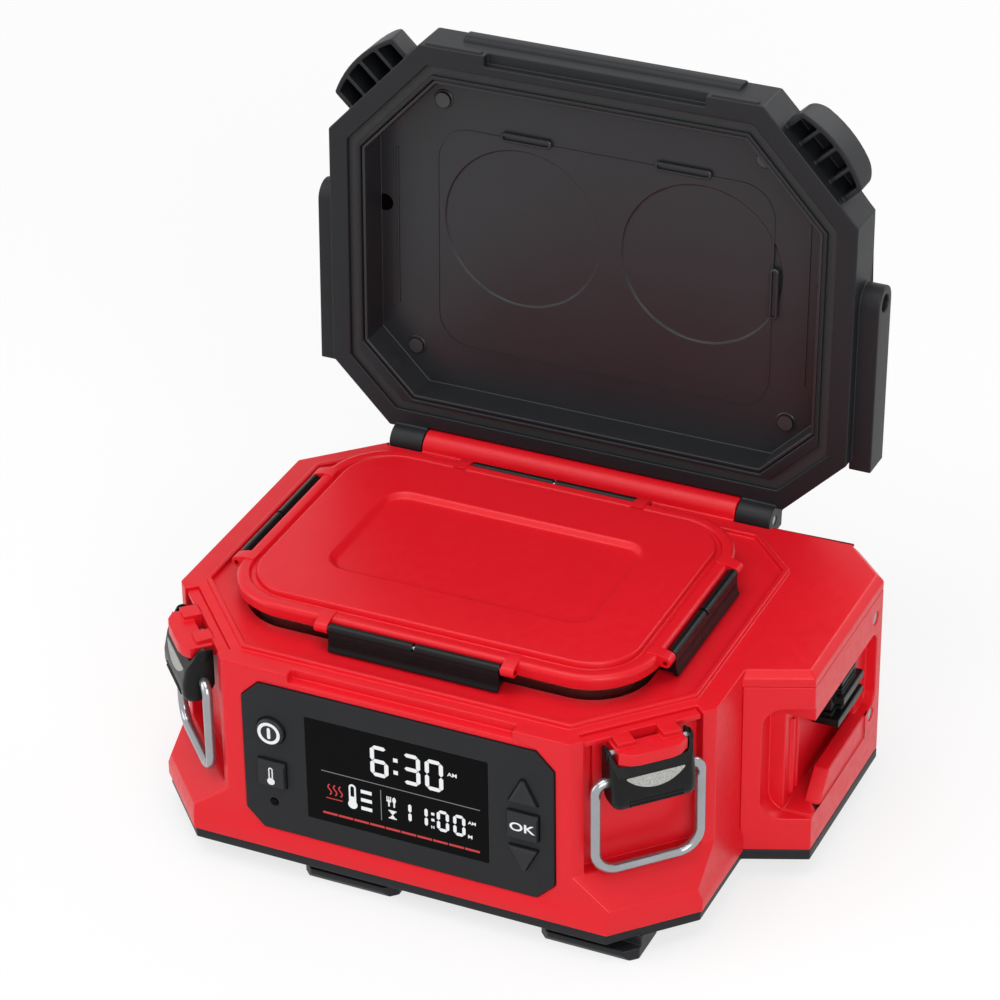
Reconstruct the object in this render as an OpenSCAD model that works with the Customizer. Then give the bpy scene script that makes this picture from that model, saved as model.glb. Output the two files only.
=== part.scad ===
// Electric lunch box with a hinged lid, two corner draw latches and a lift-out food container.
// Origin: centre of the main housing on the floor plane. X to the right, Y to the back, Z up.

/* [Housing] */
// Width of the main housing
body_w = 245; // [180:1:320]
// Depth of the main housing
body_d = 187; // [150:1:240]
// Height of the red housing
shell_h = 89; // [70:1:120]
// Wall thickness of the mouldings
wall = 2.6; // [1.8:0.1:4]
// Chamfer length of the front corners along the width
corner_x = 44; // [30:1:60]
// Chamfer length of the front corners along the depth
corner_y = 47; // [30:1:60]
// Chamfer length of the rear left corner
rear_corner = 30; // [16:1:44]
// Height of the stacking feet
foot_h = 9; // [5:0.5:14]
// Height of the base plate edge
base_t = 5; // [3:0.5:8]

/* [Battery bay] */
// How far the battery bay stands out to the right
bay_w = 27.5; // [20:0.5:40]
// Depth of the battery recess
dock_depth = 20; // [14:0.5:22]
// Height of the battery recess
dock_h = 55; // [44:1:64]

/* [Food well] */
// Width of the well opening
well_w = 182; // [150:1:200]
// Depth of the well opening
well_d = 128; // [100:1:140]

/* [Food container] */
// Gap between the container wall and the well opening
tub_gap = 2; // [1:0.25:4]
// Height of the container
tub_h = 70; // [56:1:84]
// How far the container's rim stands above the deck
rim_over = 8; // [6:0.5:14]
// Steel thickness
steel_t = 1; // [0.8:0.1:1.6]

/* [Control panel] */
// Width of the control panel
panel_w = 141; // [110:1:160]
// Height of the control panel
panel_h = 72; // [56:1:76]
// Width of the display
view_w = 82.6; // [60:0.2:90]
// Height of the display
view_h = 50; // [36:1:54]
// Button travel
key_travel = 0.6; // [0.3:0.1:1]

/* [Lid] */
// Height of the lid edge
lid_h = 22; // [16:1:30]
// Height of the raised stacking platform
platform_h = 6; // [4:0.5:8]
// How far the lid stands open at rest, in degrees
lid_open = 92; // [88:1:110]

/* [Latches] */
// Width over the wire bail
bail_w = 51; // [40:1:56]
// Wire diameter of the bail
wire_d = 4.4; // [3:0.1:4.8]
// Width of the latch lever
lever_w = 37; // [30:1:39]

/* [Hidden] */

red = "#D3111C";
black = "#26272A";
steel = "#B9BCBF";
eps = 0.01;
fit = 0.3;
run = 0.05;
press = 0.02;
over = 9; // how far cutting bodies reach past the surface
screw_r = 1.5;
pilot_r = screw_r + run;
post_r = 5;
roof_t = 2.6;
hw = body_w / 2;
hd = body_d / 2;
shell_z = foot_h + base_t;
deck_z = shell_z + shell_h;
deck_t = 3;

// octagon outline: half width, half depth, front corner move (out is negative), rear chamfers
corner_len = norm([corner_x, corner_y]);
cnx = corner_y / corner_len;
cny = corner_x / corner_len;
corner_k = cnx * hw + cny * (hd - corner_y);
function front_x(d, m) = (corner_k - m - cny * d) / cnx;
function front_y(w, m) = (cnx * w - corner_k + m) / cny;
function oct(w, d, m, rl, rr) = [[-front_x(d, m), -d], [front_x(d, m), -d], [w, front_y(w, m)],
  [w, d - rr], [w - rr, d], [rl - w, d], [-w, d - rl], [-w, front_y(w, m)]];
// the outline moved in by d, with rear chamfers c
function inset(d, c) = oct(hw - d, hd - d, d, c, c);
corner_turn = atan2(corner_y, corner_x);
corner_mid = [hw - corner_x / 2, -hd + corner_y / 2];

module at_right_corner() {
  translate([corner_mid[0], corner_mid[1], 0])
    rotate([0, 0, corner_turn])
      children();
}
module at_left_corner() {
  mirror([1, 0, 0])
    at_right_corner()
      children();
}
module slab(points, z0, z1) {
  translate([0, 0, z0])
    linear_extrude(height = z1 - z0)
      polygon(points);
}
// straight-sided solid between two outlines with the same number of corners
module taper(low, z0, high, z1) {
  n = len(low);
  points = concat([for (p = low) [p[0], p[1], z0]], [for (p = high) [p[0], p[1], z1]]);
  sides = [for (i = [0 : n - 1]) [i, n + i, n + (i + 1) % n, (i + 1) % n]];
  polyhedron(points, concat([[for (i = [0 : n - 1]) i]], [[for (i = [0 : n - 1]) 2 * n - 1 - i]], sides));
}
module block(x, y, z) {
  translate([x[0], y[0], z[0]])
    cube([x[1] - x[0], y[1] - y[0], z[1] - z[0]]);
}
module rr2(w, d, r) {
  union() {
    square([w - 2 * r, d], center = true);
    square([w, d - 2 * r], center = true);
    for (x = [-1, 1], y = [-1, 1])
      translate([x * (w / 2 - r), y * (d / 2 - r)])
        circle(r = r, $fn = 64);
  }
}
module rr(w, d, r, z0, z1) {
  translate([0, 0, z0])
    linear_extrude(height = z1 - z0)
      rr2(w, d, r);
}
// rounded box whose walls lean evenly
module rr_taper(w0, d0, r0, z0, w1, d1, r1, z1) {
  hull()
    for (x = [-1, 1], y = [-1, 1]) {
      translate([x * (w0 / 2 - r0), y * (d0 / 2 - r0), z0])
        cylinder(r = r0, h = eps, $fn = 48);
      translate([x * (w1 / 2 - r1), y * (d1 / 2 - r1), z1 - eps])
        cylinder(r = r1, h = eps, $fn = 48);
    }
}
module rod_x(r, x0, x1) {
  translate([x0, 0, 0])
    rotate([0, 90, 0])
      cylinder(r = r, h = x1 - x0, $fn = 48);
}
module rod_y(r, y0, y1) {
  translate([0, y1, 0])
    rotate([90, 0, 0])
      cylinder(r = r, h = y1 - y0, $fn = 48);
}

// ---- housing sizes
flare = 2;
skirt_move = 13.4;
skirt_h = 6;
slope_h = 5;
shelf_z = shell_z + 24;
pocket_w = 52;
pocket_n = 6;
rib_in = 10;
rib_t = 2.4;
rib_h = 2;
hinge_y = hd + 5.5;
hinge_z = deck_z;
hinge_r = 7;
hinge_pin_r = 2;
hinge_gap = 0.6;
red_barrel = 75;
knuckle_w = 16;
bay_front = -18;
bay_slant = 11.5;
bay_corner = 17.5;
cap_h = 7;
cap_z = deck_z - cap_h;
grip_x = [-48, 53];
grip_d = 5;
grip_h = 4;
well_x = -1.5;
well_y = 2;
well_r = 26;
panel_x = 1;
panel_z = shell_z + 46;
panel_c = 8;
panel_t = 2.5;
panel_proud = 1;
panel_rim = 2.5;
seat_y = -hd - panel_proud + panel_t;

outline = oct(hw, hd, 0, rear_corner, 0.5);
inner = oct(hw - wall, hd - wall, pocket_n + wall, rear_corner - 1.5, 0.5);
bay_outline = [[hw, bay_front], [hw + bay_w, bay_front + bay_slant], [hw + bay_w, hd - bay_corner],
  [hw + bay_w - bay_corner, hd], [hw, hd]];
bay_base = [[hw - 6, bay_front], [hw, bay_front], [hw + bay_w, bay_front + bay_slant],
  [hw + bay_w, hd - bay_corner], [hw + bay_w - bay_corner, hd], [hw - 6, hd]];

module panel2(w, h, c) {
  polygon([[-w / 2 + c, -h / 2], [w / 2 - c, -h / 2], [w / 2, -h / 2 + c], [w / 2, h / 2 - c],
    [w / 2 - c, h / 2], [-w / 2 + c, h / 2], [-w / 2, h / 2 - c], [-w / 2, -h / 2 + c]]);
}
// a plate seen from the front, between two Y planes
module front_plate(y0, y1) {
  translate([panel_x, y1, panel_z])
    rotate([90, 0, 0])
      linear_extrude(height = y1 - y0)
        children();
}

module base_plate() {
  color(black) {
    difference() {
      union() {
        slab(oct(hw + 1, hd + 1, 1 - skirt_move, rear_corner, 0.5), foot_h, shell_z);
        slab(bay_base, foot_h, shell_z);
      }
      slab(oct(hw - 4, hd - 4, 0, rear_corner, 0.5), foot_h + wall, shell_z + 1);
      slab([[hw - 6, bay_front + 6], [hw + bay_w - 5, bay_front + bay_slant + 5],
        [hw + bay_w - 5, hd - bay_corner - 2], [hw + bay_w - bay_corner - 2, hd - 5],
        [hw - 6, hd - 5]], foot_h + wall, shell_z + 1);
      for (p = screw_spots)
        translate([p[0], p[1], 0])
          cylinder(r = 2, h = shell_z, $fn = 32);
    }
    for (p = screw_spots)
      translate([p[0], p[1], foot_h + 1])
        difference() {
          cylinder(r = 4.5, h = base_t - 1, $fn = 32);
          translate([0, 0, -1])
            cylinder(r = 2, h = base_t + 2, $fn = 32);
        }
    for (x = foot_x, y = [-1, 1])
      cleat(x, y);
    for (x = [-1, 1], y = [-1, 1])
      translate([board_x + x * (board_w / 2 - 5), board_y + y * (board_d / 2 - 5), foot_h + 1])
        cylinder(r = 3.5, h = board_z - foot_h - 1, $fn = 32);
  }
}
foot_x = [-25, 84];
foot_w = 44;
foot_y = hd - 6;
screw_spots = [[-hw + 16, -hd + 48], [hw - 16, -hd + 48], [-hw + 14, hd - 34], [hw - 9, hd - 16]];
// a cleat: an open hook that points outwards under the base
module cleat(x, side) {
  translate([x, side * foot_y, 0])
    mirror([0, side < 0 ? 0 : 1, 0])
      difference() {
        translate([-foot_w / 2, 0, 0])
          rotate([90, 0, 90])
            linear_extrude(height = foot_w)
              polygon([[-4, 3], [-2, 0], [20, 0], [20, foot_h + 1], [3, foot_h + 1], [3, 5.4], [-4, 5.4]]);
        for (s = [-1, 1])
          translate([s * (foot_w / 2), -4, -1])
            rotate([0, 0, 45])
              cube([7, 7, 2 * (foot_h + 2)], center = true);
        block([-foot_w / 2 + 8, foot_w / 2 - 8], [6, 17], [-1, foot_h - wall]);
      }
}
board_x = -6;
board_y = 8;
board_w = 120;
board_d = 76;
board_z = shell_z + 3;

dock_z = shell_z + 16;
// rear end of the rounded lead-in at the front
dock_lead = bay_front + 13;
dock_back = hw + bay_w - dock_depth;
// the rail channel is shallower and ends in a flat step
chan_depth = 13;
chan_x = hw + bay_w - chan_depth;
chan_z = dock_z + 1;
chan_h = 47.5;
dock_rear = hd - 36;
step_depth = 5;
step_end = hd - 23.5;
lip_t = 7;
lip_h = 12;
term_y = [dock_rear - 31, dock_rear - 0.5];
term_z = dock_z + 25;
module dock_cut() {
  x1 = hw + bay_w + 1;
  r = 9;
  // D-shaped lead-in, open to the right and to the front
  translate([0, dock_lead, dock_z + dock_h / 2])
    rotate([90, 0, 0])
      linear_extrude(height = 2 * hd)
        union() {
          translate([dock_back + r, -dock_h / 2])
            square([x1 - dock_back - r, dock_h]);
          translate([dock_back, -dock_h / 2 + r])
            square([r + 1, dock_h - 2 * r]);
          for (s = [-1, 1])
            translate([dock_back + r, s * (dock_h / 2 - r)])
              circle(r = r, $fn = 64);
        }
  block([chan_x, x1], [-hd, dock_rear], [chan_z, chan_z + chan_h]);
  // flat step behind the terminals, with rounded rear corners
  step_r = 6;
  low = dock_z + lip_h;
  high = chan_z + chan_h;
  translate([hw + bay_w - step_depth, 0, 0])
    rotate([90, 0, 90])
      linear_extrude(height = step_depth + 1)
        union() {
          translate([dock_rear - 1, low])
            square([step_end - step_r - dock_rear + 1, high - low]);
          translate([dock_rear, low + step_r])
            square([step_end - dock_rear, high - low - 2 * step_r]);
          for (z = [low + step_r, high - step_r])
            translate([step_end - step_r, z])
              circle(r = step_r, $fn = 64);
        }
}
module battery_bay() {
  color(red) {
    difference() {
      slab(bay_outline, shell_z, cap_z);
      difference() {
        slab([[hw - 1, bay_front + 3], [hw + bay_w - wall, bay_front + bay_slant + 3],
          [hw + bay_w - wall, hd - bay_corner - 1], [hw + bay_w - bay_corner - 1, hd - wall],
          [hw - 1, hd - wall]], shell_z - 1, cap_z - wall);
        dock_wall();
      }
      dock_cut();
      for (p = bay_spots)
        translate([0, p[0], p[1]])
          rod_x(3, hw + bay_w - 2, hw + bay_w + 1);
      for (p = bay_spots)
        translate([0, p[0], p[1]])
          rod_x(screw_r + 2 * run, hw + 2, hw + bay_w);
      block([chan_x - wall - 1, chan_x + 1], [term_y[0] + 3.8, term_y[1] - 5.8], [term_z + 2.8, term_z + 19.2]);
    }
    // rail lip with a slanted front end
    lip_y = bay_front + bay_slant + 9;
    translate([hw + bay_w - lip_t, 0, 0])
      rotate([90, 0, 90])
        linear_extrude(height = lip_t - 0.2)
          polygon([[lip_y, dock_z], [dock_rear + 0.5, dock_z], [dock_rear + 0.5, dock_z + lip_h],
            [lip_y + lip_h, dock_z + lip_h]]);
    // guide ribs on the channel's wall
    for (y = [dock_lead + 6, dock_lead + 11])
      block([chan_x - 0.5, chan_x + 1.6], [y, y + 2], [chan_z + 4, chan_z + chan_h - 6]);
  }
}
module dock_wall() {
  block([dock_back - wall, hw + bay_w + over], [-hd, dock_lead + wall],
    [dock_z - wall, dock_z + dock_h + wall]);
  block([chan_x - wall, hw + bay_w + over], [-hd, dock_rear + wall], [chan_z - wall, chan_z + chan_h + wall]);
  block([hw + bay_w - step_depth - wall, hw + bay_w + over], [dock_rear, step_end + wall],
    [dock_z + lip_h - wall, chan_z + chan_h + wall]);
}
bay_spots = [[hd - 26, dock_z + dock_h + 1], [hd - 28, dock_z + 8]];
module bay_screws() {
  color(steel)
    for (p = bay_spots)
      translate([0, p[0], p[1]]) {
        rod_x(2.8, hw + bay_w - 2, hw + bay_w - 0.6);
        rod_x(screw_r + run / 2, hw + 4, hw + bay_w - 2);
      }
}

module main_shell() {
  color(red)
    difference() {
      union() {
        difference() {
          union() {
            slab(outline, shell_z, deck_z);
            slab(oct(hw + flare, hd + flare, -skirt_move, rear_corner, 0.5), shell_z, shell_z + skirt_h);
            taper(oct(hw + flare, hd + flare, -skirt_move, rear_corner, 0.5), shell_z + skirt_h,
              oct(hw, hd, 1 - skirt_move, rear_corner, 0.5), shell_z + skirt_h + slope_h);
            taper(oct(hw, hd, 1 - skirt_move, rear_corner, 0.5), shell_z + skirt_h + slope_h,
              oct(hw, hd, 0, rear_corner, 0.5), shelf_z);
          }
          slab(inner, shell_z - 1, deck_z - deck_t);
          // keep the skirt flush with the housing side where the battery bay joins
          block([hw, hw + over], [bay_front, hd + over], [shell_z - 1, cap_z]);
          block([-hw, hw + over], [hd, hd + over], [shell_z - 1, deck_z]);
        }
        // cap over the battery bay
        difference() {
          slab(bay_base, cap_z, deck_z);
          edge_chamfer(bay_base[1], bay_base[2], 0, 2);
          edge_chamfer(bay_base[2], bay_base[3], 2, 2);
          edge_chamfer(bay_base[3], bay_base[4], 2, 2);
          slab([[hw + 3, bay_front + 5], [hw + bay_w - wall, bay_front + bay_slant + 4],
            [hw + bay_w - wall, hd - bay_corner - 1], [hw + bay_w - bay_corner - 1, hd - wall],
            [hw + 3, hd - wall]], cap_z - 1, deck_z - deck_t);
        }
        // raised seal rib round the deck
        difference() {
          slab(inset(rib_in, rear_corner - 8), deck_z - 1, deck_z + rib_h);
          slab(inset(rib_in + rib_t, rear_corner - 9), deck_z - 2, deck_z + rib_h + 1);
        }
        // hinge barrel
        translate([0, hinge_y, hinge_z])
          rod_x(hinge_r, -red_barrel, red_barrel);
        block([-red_barrel, red_barrel], [hd - 1, hinge_y], [hinge_z - hinge_r, hinge_z]);
        // screw posts
        for (p = screw_spots)
          translate([p[0], p[1], shell_z])
            cylinder(r = post_r, h = deck_z - shell_z - 1, $fn = 32);
        // trough under the finger grip
        block([grip_x[0] - wall, grip_x[1] + wall], [-hd + 1, -hd + grip_d + wall],
          [deck_z - grip_h - wall, deck_z - 1]);
        // frame behind the panel seat
        block([-panel_w / 2 - 2, panel_w / 2 + 4], [-hd + 1, -hd + wall + 0.6],
          [panel_z - panel_h / 2 - 3, panel_z + panel_h / 2 + 2]);
      }
      // food well opening
      translate([well_x, well_y, 0])
        rr(well_w, well_d, well_r, deck_z - deck_t - 1, deck_z + over);
      // latch pockets
      at_right_corner()
        latch_pocket();
      at_left_corner()
        latch_pocket();
      // finger grip in the front edge
      block(grip_x, [-hd - over, -hd + grip_d], [deck_z - grip_h, deck_z + 1]);
      // panel seat and opening
      front_plate(-hd - over, seat_y)
        panel2(panel_w + 0.4, panel_h + 0.4, panel_c);
      front_plate(-hd - over, -hd + over)
        panel2(panel_w - 2 * panel_rim, panel_h - 2 * panel_rim, panel_c - 1);
      // hinge bore, screw pilots, wire way
      translate([0, hinge_y, hinge_z])
        rod_x(hinge_pin_r + run, -red_barrel - 1, red_barrel + 1);
      for (s = [-1, 1])
        mirror([s < 0 ? 1 : 0, 0, 0])
          translate([0, hinge_y, hinge_z])
            rod_x(hinge_r + hinge_gap, red_barrel, red_barrel + knuckle_w + 1);
      for (p = screw_spots)
        translate([p[0], p[1], shell_z - 1])
          cylinder(r = pilot_r, h = 16, $fn = 32);
      block([hw - wall - 1, hw + 1], [ribbon_y[0] - 6, ribbon_y[1] + 6], [dock_z + 28, dock_z + 48]);
      for (p = bay_spots)
        translate([0, p[0], p[1]])
          rod_x(screw_r + 2 * run, hw - over, hw + 2);
    }
}
// cuts a slanted strip off the deck edge from a to b
cap_chamfer = 3;
module edge_chamfer(a, b, before, after) {
  length = norm([b[0] - a[0], b[1] - a[1]]);
  translate([a[0], a[1], deck_z])
    rotate([0, 0, atan2(b[1] - a[1], b[0] - a[0])])
      translate([-before, 0, 0])
        rotate([90, 0, 90])
          linear_extrude(height = length + before + after)
            polygon([[-1, -cap_chamfer - 1], [cap_chamfer + 1, 1], [-1, 1]]);
}
module latch_pocket() {
  block([-pocket_w / 2, pocket_w / 2], [-4 * over, pocket_n], [shelf_z, deck_z + over]);
}

// ---- food well
// the well is as deep as the container needs
plate_z = deck_z + rim_over - tub_h;
plate_t = 3;
plate_w = well_w - 22;
plate_d = well_d - 20;
plate_r = 18;
ledge_z = plate_z + 8;
liner_t = 2;
liner_top = deck_z - deck_t;
module well_liner() {
  color(red)
    translate([well_x, well_y, 0])
      difference() {
        union() {
          rr_taper(well_w - 4, well_d - 4, well_r - 2, plate_z - 5,
            well_w + 2 * liner_t, well_d + 2 * liner_t, well_r + liner_t, liner_top);
          rr(well_w + 16, well_d + 8, well_r + 4, liner_top - 2.4, liner_top);
        }
        rr_taper(well_w - 8, well_d - 8, well_r - 4, ledge_z, well_w, well_d, well_r, liner_top + 1);
        rr(plate_w + 2 * fit, plate_d + 2 * fit, plate_r + fit, plate_z - plate_t, ledge_z + 1);
        rr(plate_w - 10, plate_d - 10, plate_r - 5, plate_z - 9, plate_z);
      }
}
module heater_plate() {
  color("#F2A11F")
    translate([well_x, well_y, 0])
      rr(plate_w, plate_d, plate_r, plate_z - plate_t, plate_z);
}
track_w = 5;
track_edge = 11.5;
sensor_r = 5;
// the two middle runs pass the sensor on either side
track_mid = 2 * (sensor_r + 1) + track_w;
track_step = (plate_d - 2 * track_edge - track_mid) / 4;
function track_y(i) = (i > 0 ? 1 : -1) * (track_mid / 2 + (abs(i) - 0.5) * track_step);
track_len = plate_w / 2 - 26;
module heating_element() {
  color("#6D6A64")
    translate([well_x, well_y, plate_z - plate_t - 1.2])
      linear_extrude(height = 1.2)
        union() {
          for (i = [-2.5 : 1 : 2.5])
            translate([0, track_y(i)])
              square([2 * track_len, track_w], center = true);
          for (i = [-2 : 1 : 2])
            translate([(i % 2 == 0 ? 1 : -1) * (track_len - 1), (track_y(i - 0.5) + track_y(i + 0.5)) / 2])
              difference() {
                circle(d = track_y(i + 0.5) - track_y(i - 0.5) + track_w, $fn = 48);
                circle(d = track_y(i + 0.5) - track_y(i - 0.5) - track_w, $fn = 48);
                translate([(i % 2 == 0 ? -1 : 1) * 20, 0])
                  square([40, 60], center = true);
              }
        }
}
pad_h = 6;
pad_z = plate_z - plate_t - 1.2 - pad_h;
module insulation_pad() {
  color("#E7E2D3")
    translate([well_x, well_y, 0])
      difference() {
        rr(plate_w - 14, plate_d - 14, plate_r - 7, pad_z, pad_z + pad_h);
        translate([0, 0, pad_z - 1])
          cylinder(r = sensor_r + fit, h = pad_h + 2, $fn = 32);
      }
}
shield_t = 1;
module heat_shield() {
  color("#C3C6C9")
    translate([well_x, well_y, 0])
      difference() {
        union() {
          rr(plate_w - 8, plate_d - 8, plate_r - 4, plate_z - 5 - shield_t, plate_z - 5);
          rr(plate_w - 12, plate_d - 12, plate_r - 6, pad_z - shield_t, plate_z - 5);
        }
        rr(plate_w - 14, plate_d - 14, plate_r - 7, pad_z, plate_z);
        translate([0, 0, pad_z - 9])
          cylinder(r = sensor_r + fit, h = 20, $fn = 32);
      }
}
module temp_sensor() {
  color("#C9A14A")
    translate([well_x, well_y, 0]) {
      translate([0, 0, pad_z - 5])
        cylinder(r = sensor_r, h = plate_z - plate_t - pad_z + 5, $fn = 32);
      translate([0, 0, pad_z - 7])
        cylinder(r = 3, h = 3, $fn = 32);
    }
}
module thermal_fuse() {
  color("#D8D4C8")
    translate([well_x - 38, well_y - 22, pad_z - shield_t - 5])
      block([-9, 9], [-4, 4], [0, 5]);
}
module power_board() {
  color("#1E6B3C") {
    block([board_x - board_w / 2, board_x + board_w / 2], [board_y - board_d / 2, board_y + board_d / 2],
      [board_z, board_z + 1.6]);
    for (x = [-42, -14, 30])
      block([board_x + x - 8, board_x + x + 8], [board_y - 26, board_y - 14], [board_z + 1.6, board_z + 7]);
  }
}
// ribbon cables: battery to power board, power board to control board, power board to heater
ribbon_t = 1.6;
ribbon_low = board_z + 8;
ribbon_y = [term_y[0] + 6, term_y[0] + 16];
module wiring() {
  color("#202226") {
    union() {
      block([wire_x, chan_x - wall - 1.2], ribbon_y, [dock_z + 37, dock_z + 37 + ribbon_t]);
      block([wire_x, wire_x + ribbon_t], ribbon_y, [ribbon_low, dock_z + 37 + ribbon_t]);
      block([board_x + board_w / 2 - 8, wire_x + ribbon_t], ribbon_y, [ribbon_low, ribbon_low + ribbon_t]);
      block([board_x + board_w / 2 - 8, board_x + board_w / 2 - 8 + ribbon_t], ribbon_y,
        [board_z + 1.6, ribbon_low + ribbon_t]);
    }
    union() {
      block([-20, -8], [board_back, board_back + 5], [panel_z - 8, panel_z - 8 + ribbon_t]);
      block([-20, -8], [board_back + 5 - ribbon_t, board_back + 5], [ribbon_low, panel_z - 8 + ribbon_t]);
      block([-20, -8], [board_back + 5 - ribbon_t, plug_y], [ribbon_low, ribbon_low + ribbon_t]);
      block([-20, -8], [plug_y - ribbon_t, plug_y], [board_z + 1.6, ribbon_low + ribbon_t]);
    }
    block([-30, -24], [10, 10 + ribbon_t], [board_z + 1.6, pad_z - shield_t]);
  }
}
wire_x = hw - 12;
plug_y = board_y - board_d / 2 + 4;
module base_screws() {
  color(steel)
    for (p = screw_spots)
      translate([p[0], p[1], 0]) {
        translate([0, 0, foot_h - 1.8])
          cylinder(r = 3.6, h = 1.8, $fn = 32);
        translate([0, 0, foot_h - 0.5])
          cylinder(r = screw_r, h = base_t + 10, $fn = 32);
      }
}

// ---- control panel
key_x = 57.2;
left_keys = [14, -7];
light_z = -22;
right_keys = [15.5, -1, -17.5];
power_r = 6.4;
key_w = 12.6;
key_gap = 0.3;
board_front = seat_y + 6;
board_back = board_front + 1.6;
module tri2(s, g) {
  // upward or downward pointing key outline, grown by g
  polygon([[-6.4 - 1.7 * g, s * (-5.6 - g)], [6.4 + 1.7 * g, s * (-5.6 - g)], [0.8, s * (5.6 + 1.6 * g)],
    [-0.8, s * (5.6 + 1.6 * g)]]);
}
module keys2(g) {
  translate([-key_x, left_keys[0]])
    circle(r = power_r + g, $fn = 64);
  translate([-key_x, left_keys[1]])
    square([key_w + 2 * g, key_w + 2 * g], center = true);
  translate([-key_x, light_z])
    circle(r = 1.6 + g, $fn = 32);
  translate([key_x, right_keys[0]])
    tri2(1, g);
  translate([key_x, right_keys[1]])
    square([key_w + 1 + 2 * g, key_w + 2 * g], center = true);
  translate([key_x, right_keys[2]])
    tri2(-1, g);
}
module panel_bezel() {
  color(black) {
    difference() {
      union() {
        front_plate(-hd - panel_proud, seat_y)
          panel2(panel_w, panel_h, panel_c);
        for (x = [-1, 1], z = [-1, 1])
          translate([panel_x + x * (panel_w / 2 - 24), 0, panel_z + z * (panel_h / 2 - 7)])
            rod_y(3, seat_y - 1, board_front);
      }
      front_plate(-hd - over, seat_y + 1)
        keys2(key_gap);
      front_plate(-hd - over, seat_y + 1)
        square([view_w - 4, view_h - 4], center = true);
      front_plate(-hd - over, seat_y - 0.9)
        square([view_w + 0.2, view_h + 0.2], center = true);
    }
  }
}
module display_window() {
  color("#0B0C0E")
    front_plate(seat_y - 2.3, seat_y - 0.9)
      square([view_w, view_h], center = true);
}
module display_module() {
  color("#17191C")
    front_plate(seat_y, board_front)
      square([view_w + 2, view_h + 2], center = true);
}
module control_board() {
  color("#1E6B3C")
    front_plate(board_front, board_back)
      square([panel_w - 12, panel_h - 8], center = true);
}
switch_gap = 0.15;
flange_t = 1;
stem_back = seat_y + 0.1 + flange_t;
key_spots = [[-key_x, left_keys[0]], [-key_x, left_keys[1]], [key_x, right_keys[0]],
  [key_x, right_keys[1]], [key_x, right_keys[2]]];
module key_switches() {
  color("#3B3D40")
    for (p = key_spots) {
      front_plate(stem_back + key_travel + switch_gap + 1, board_front)
        translate(p)
          square([6, 6], center = true);
      front_plate(stem_back + key_travel + switch_gap, board_front - 1)
        translate(p)
          circle(r = 1.7, $fn = 32);
    }
}
module key_body(p) {
  front_plate(-hd - panel_proud - 1.2, seat_y + 0.2)
    translate(p)
      children(0);
  front_plate(seat_y + 0.1, stem_back)
    translate(p)
      children(1);
}
module power_button() {
  color(black)
    key_body(key_spots[0]) {
      circle(r = power_r, $fn = 64);
      circle(r = power_r + 1, $fn = 64);
    }
}
module temp_button() {
  color(black)
    key_body(key_spots[1]) {
      square([key_w, key_w], center = true);
      square([key_w + 2, key_w + 1.6], center = true);
    }
}
module up_button() {
  color(black)
    key_body(key_spots[2]) {
      tri2(1, 0);
      tri2(1, 0.9);
    }
}
module ok_button() {
  color(black)
    key_body(key_spots[3]) {
      square([key_w + 1, key_w], center = true);
      square([key_w + 2.6, key_w + 1.6], center = true);
    }
}
module down_button() {
  color(black)
    key_body(key_spots[4]) {
      tri2(-1, 0);
      tri2(-1, 0.9);
    }
}
module status_light() {
  color("#3A3D42")
    front_plate(-hd - panel_proud - 0.2, board_front)
      translate([-key_x, light_z])
        circle(r = 1.6, $fn = 32);
}

// ---- battery terminals
module terminal_block() {
  color(black)
    difference() {
      union() {
        block([chan_x, chan_x + 8], [term_y[0] + 2, term_y[1]], [term_z, term_z + 22.5]);
        block([chan_x, chan_x + 12], [term_y[0], term_y[1]], [term_z, term_z + 3.6]);
        block([chan_x, chan_x + 12], [term_y[0] + 6, term_y[1]], [term_z + 7.5, term_z + 11.2]);
        block([chan_x, chan_x + 10], [term_y[0] + 9, term_y[1] - 4], [term_z + 1, term_z + 22.5]);
        block([chan_x - wall - 1.2, chan_x + 1], [term_y[0] + 4, term_y[1] - 6], [term_z + 3, term_z + 19]);
      }
      for (z = [term_z + 5, term_z + 13.5, term_z + 17])
        block([chan_x + 3, chan_x + 13], [term_y[0] + 1, term_y[1] - 6], [z, z + 1.2]);
    }
}
module contact_blades() {
  color("#C9A14A")
    for (z = [term_z + 5.2, term_z + 13.7, term_z + 17.2])
      block([chan_x + 3, chan_x + 9], [term_y[0] + 11, term_y[1] - 6], [z, z + 0.8]);
}

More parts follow.
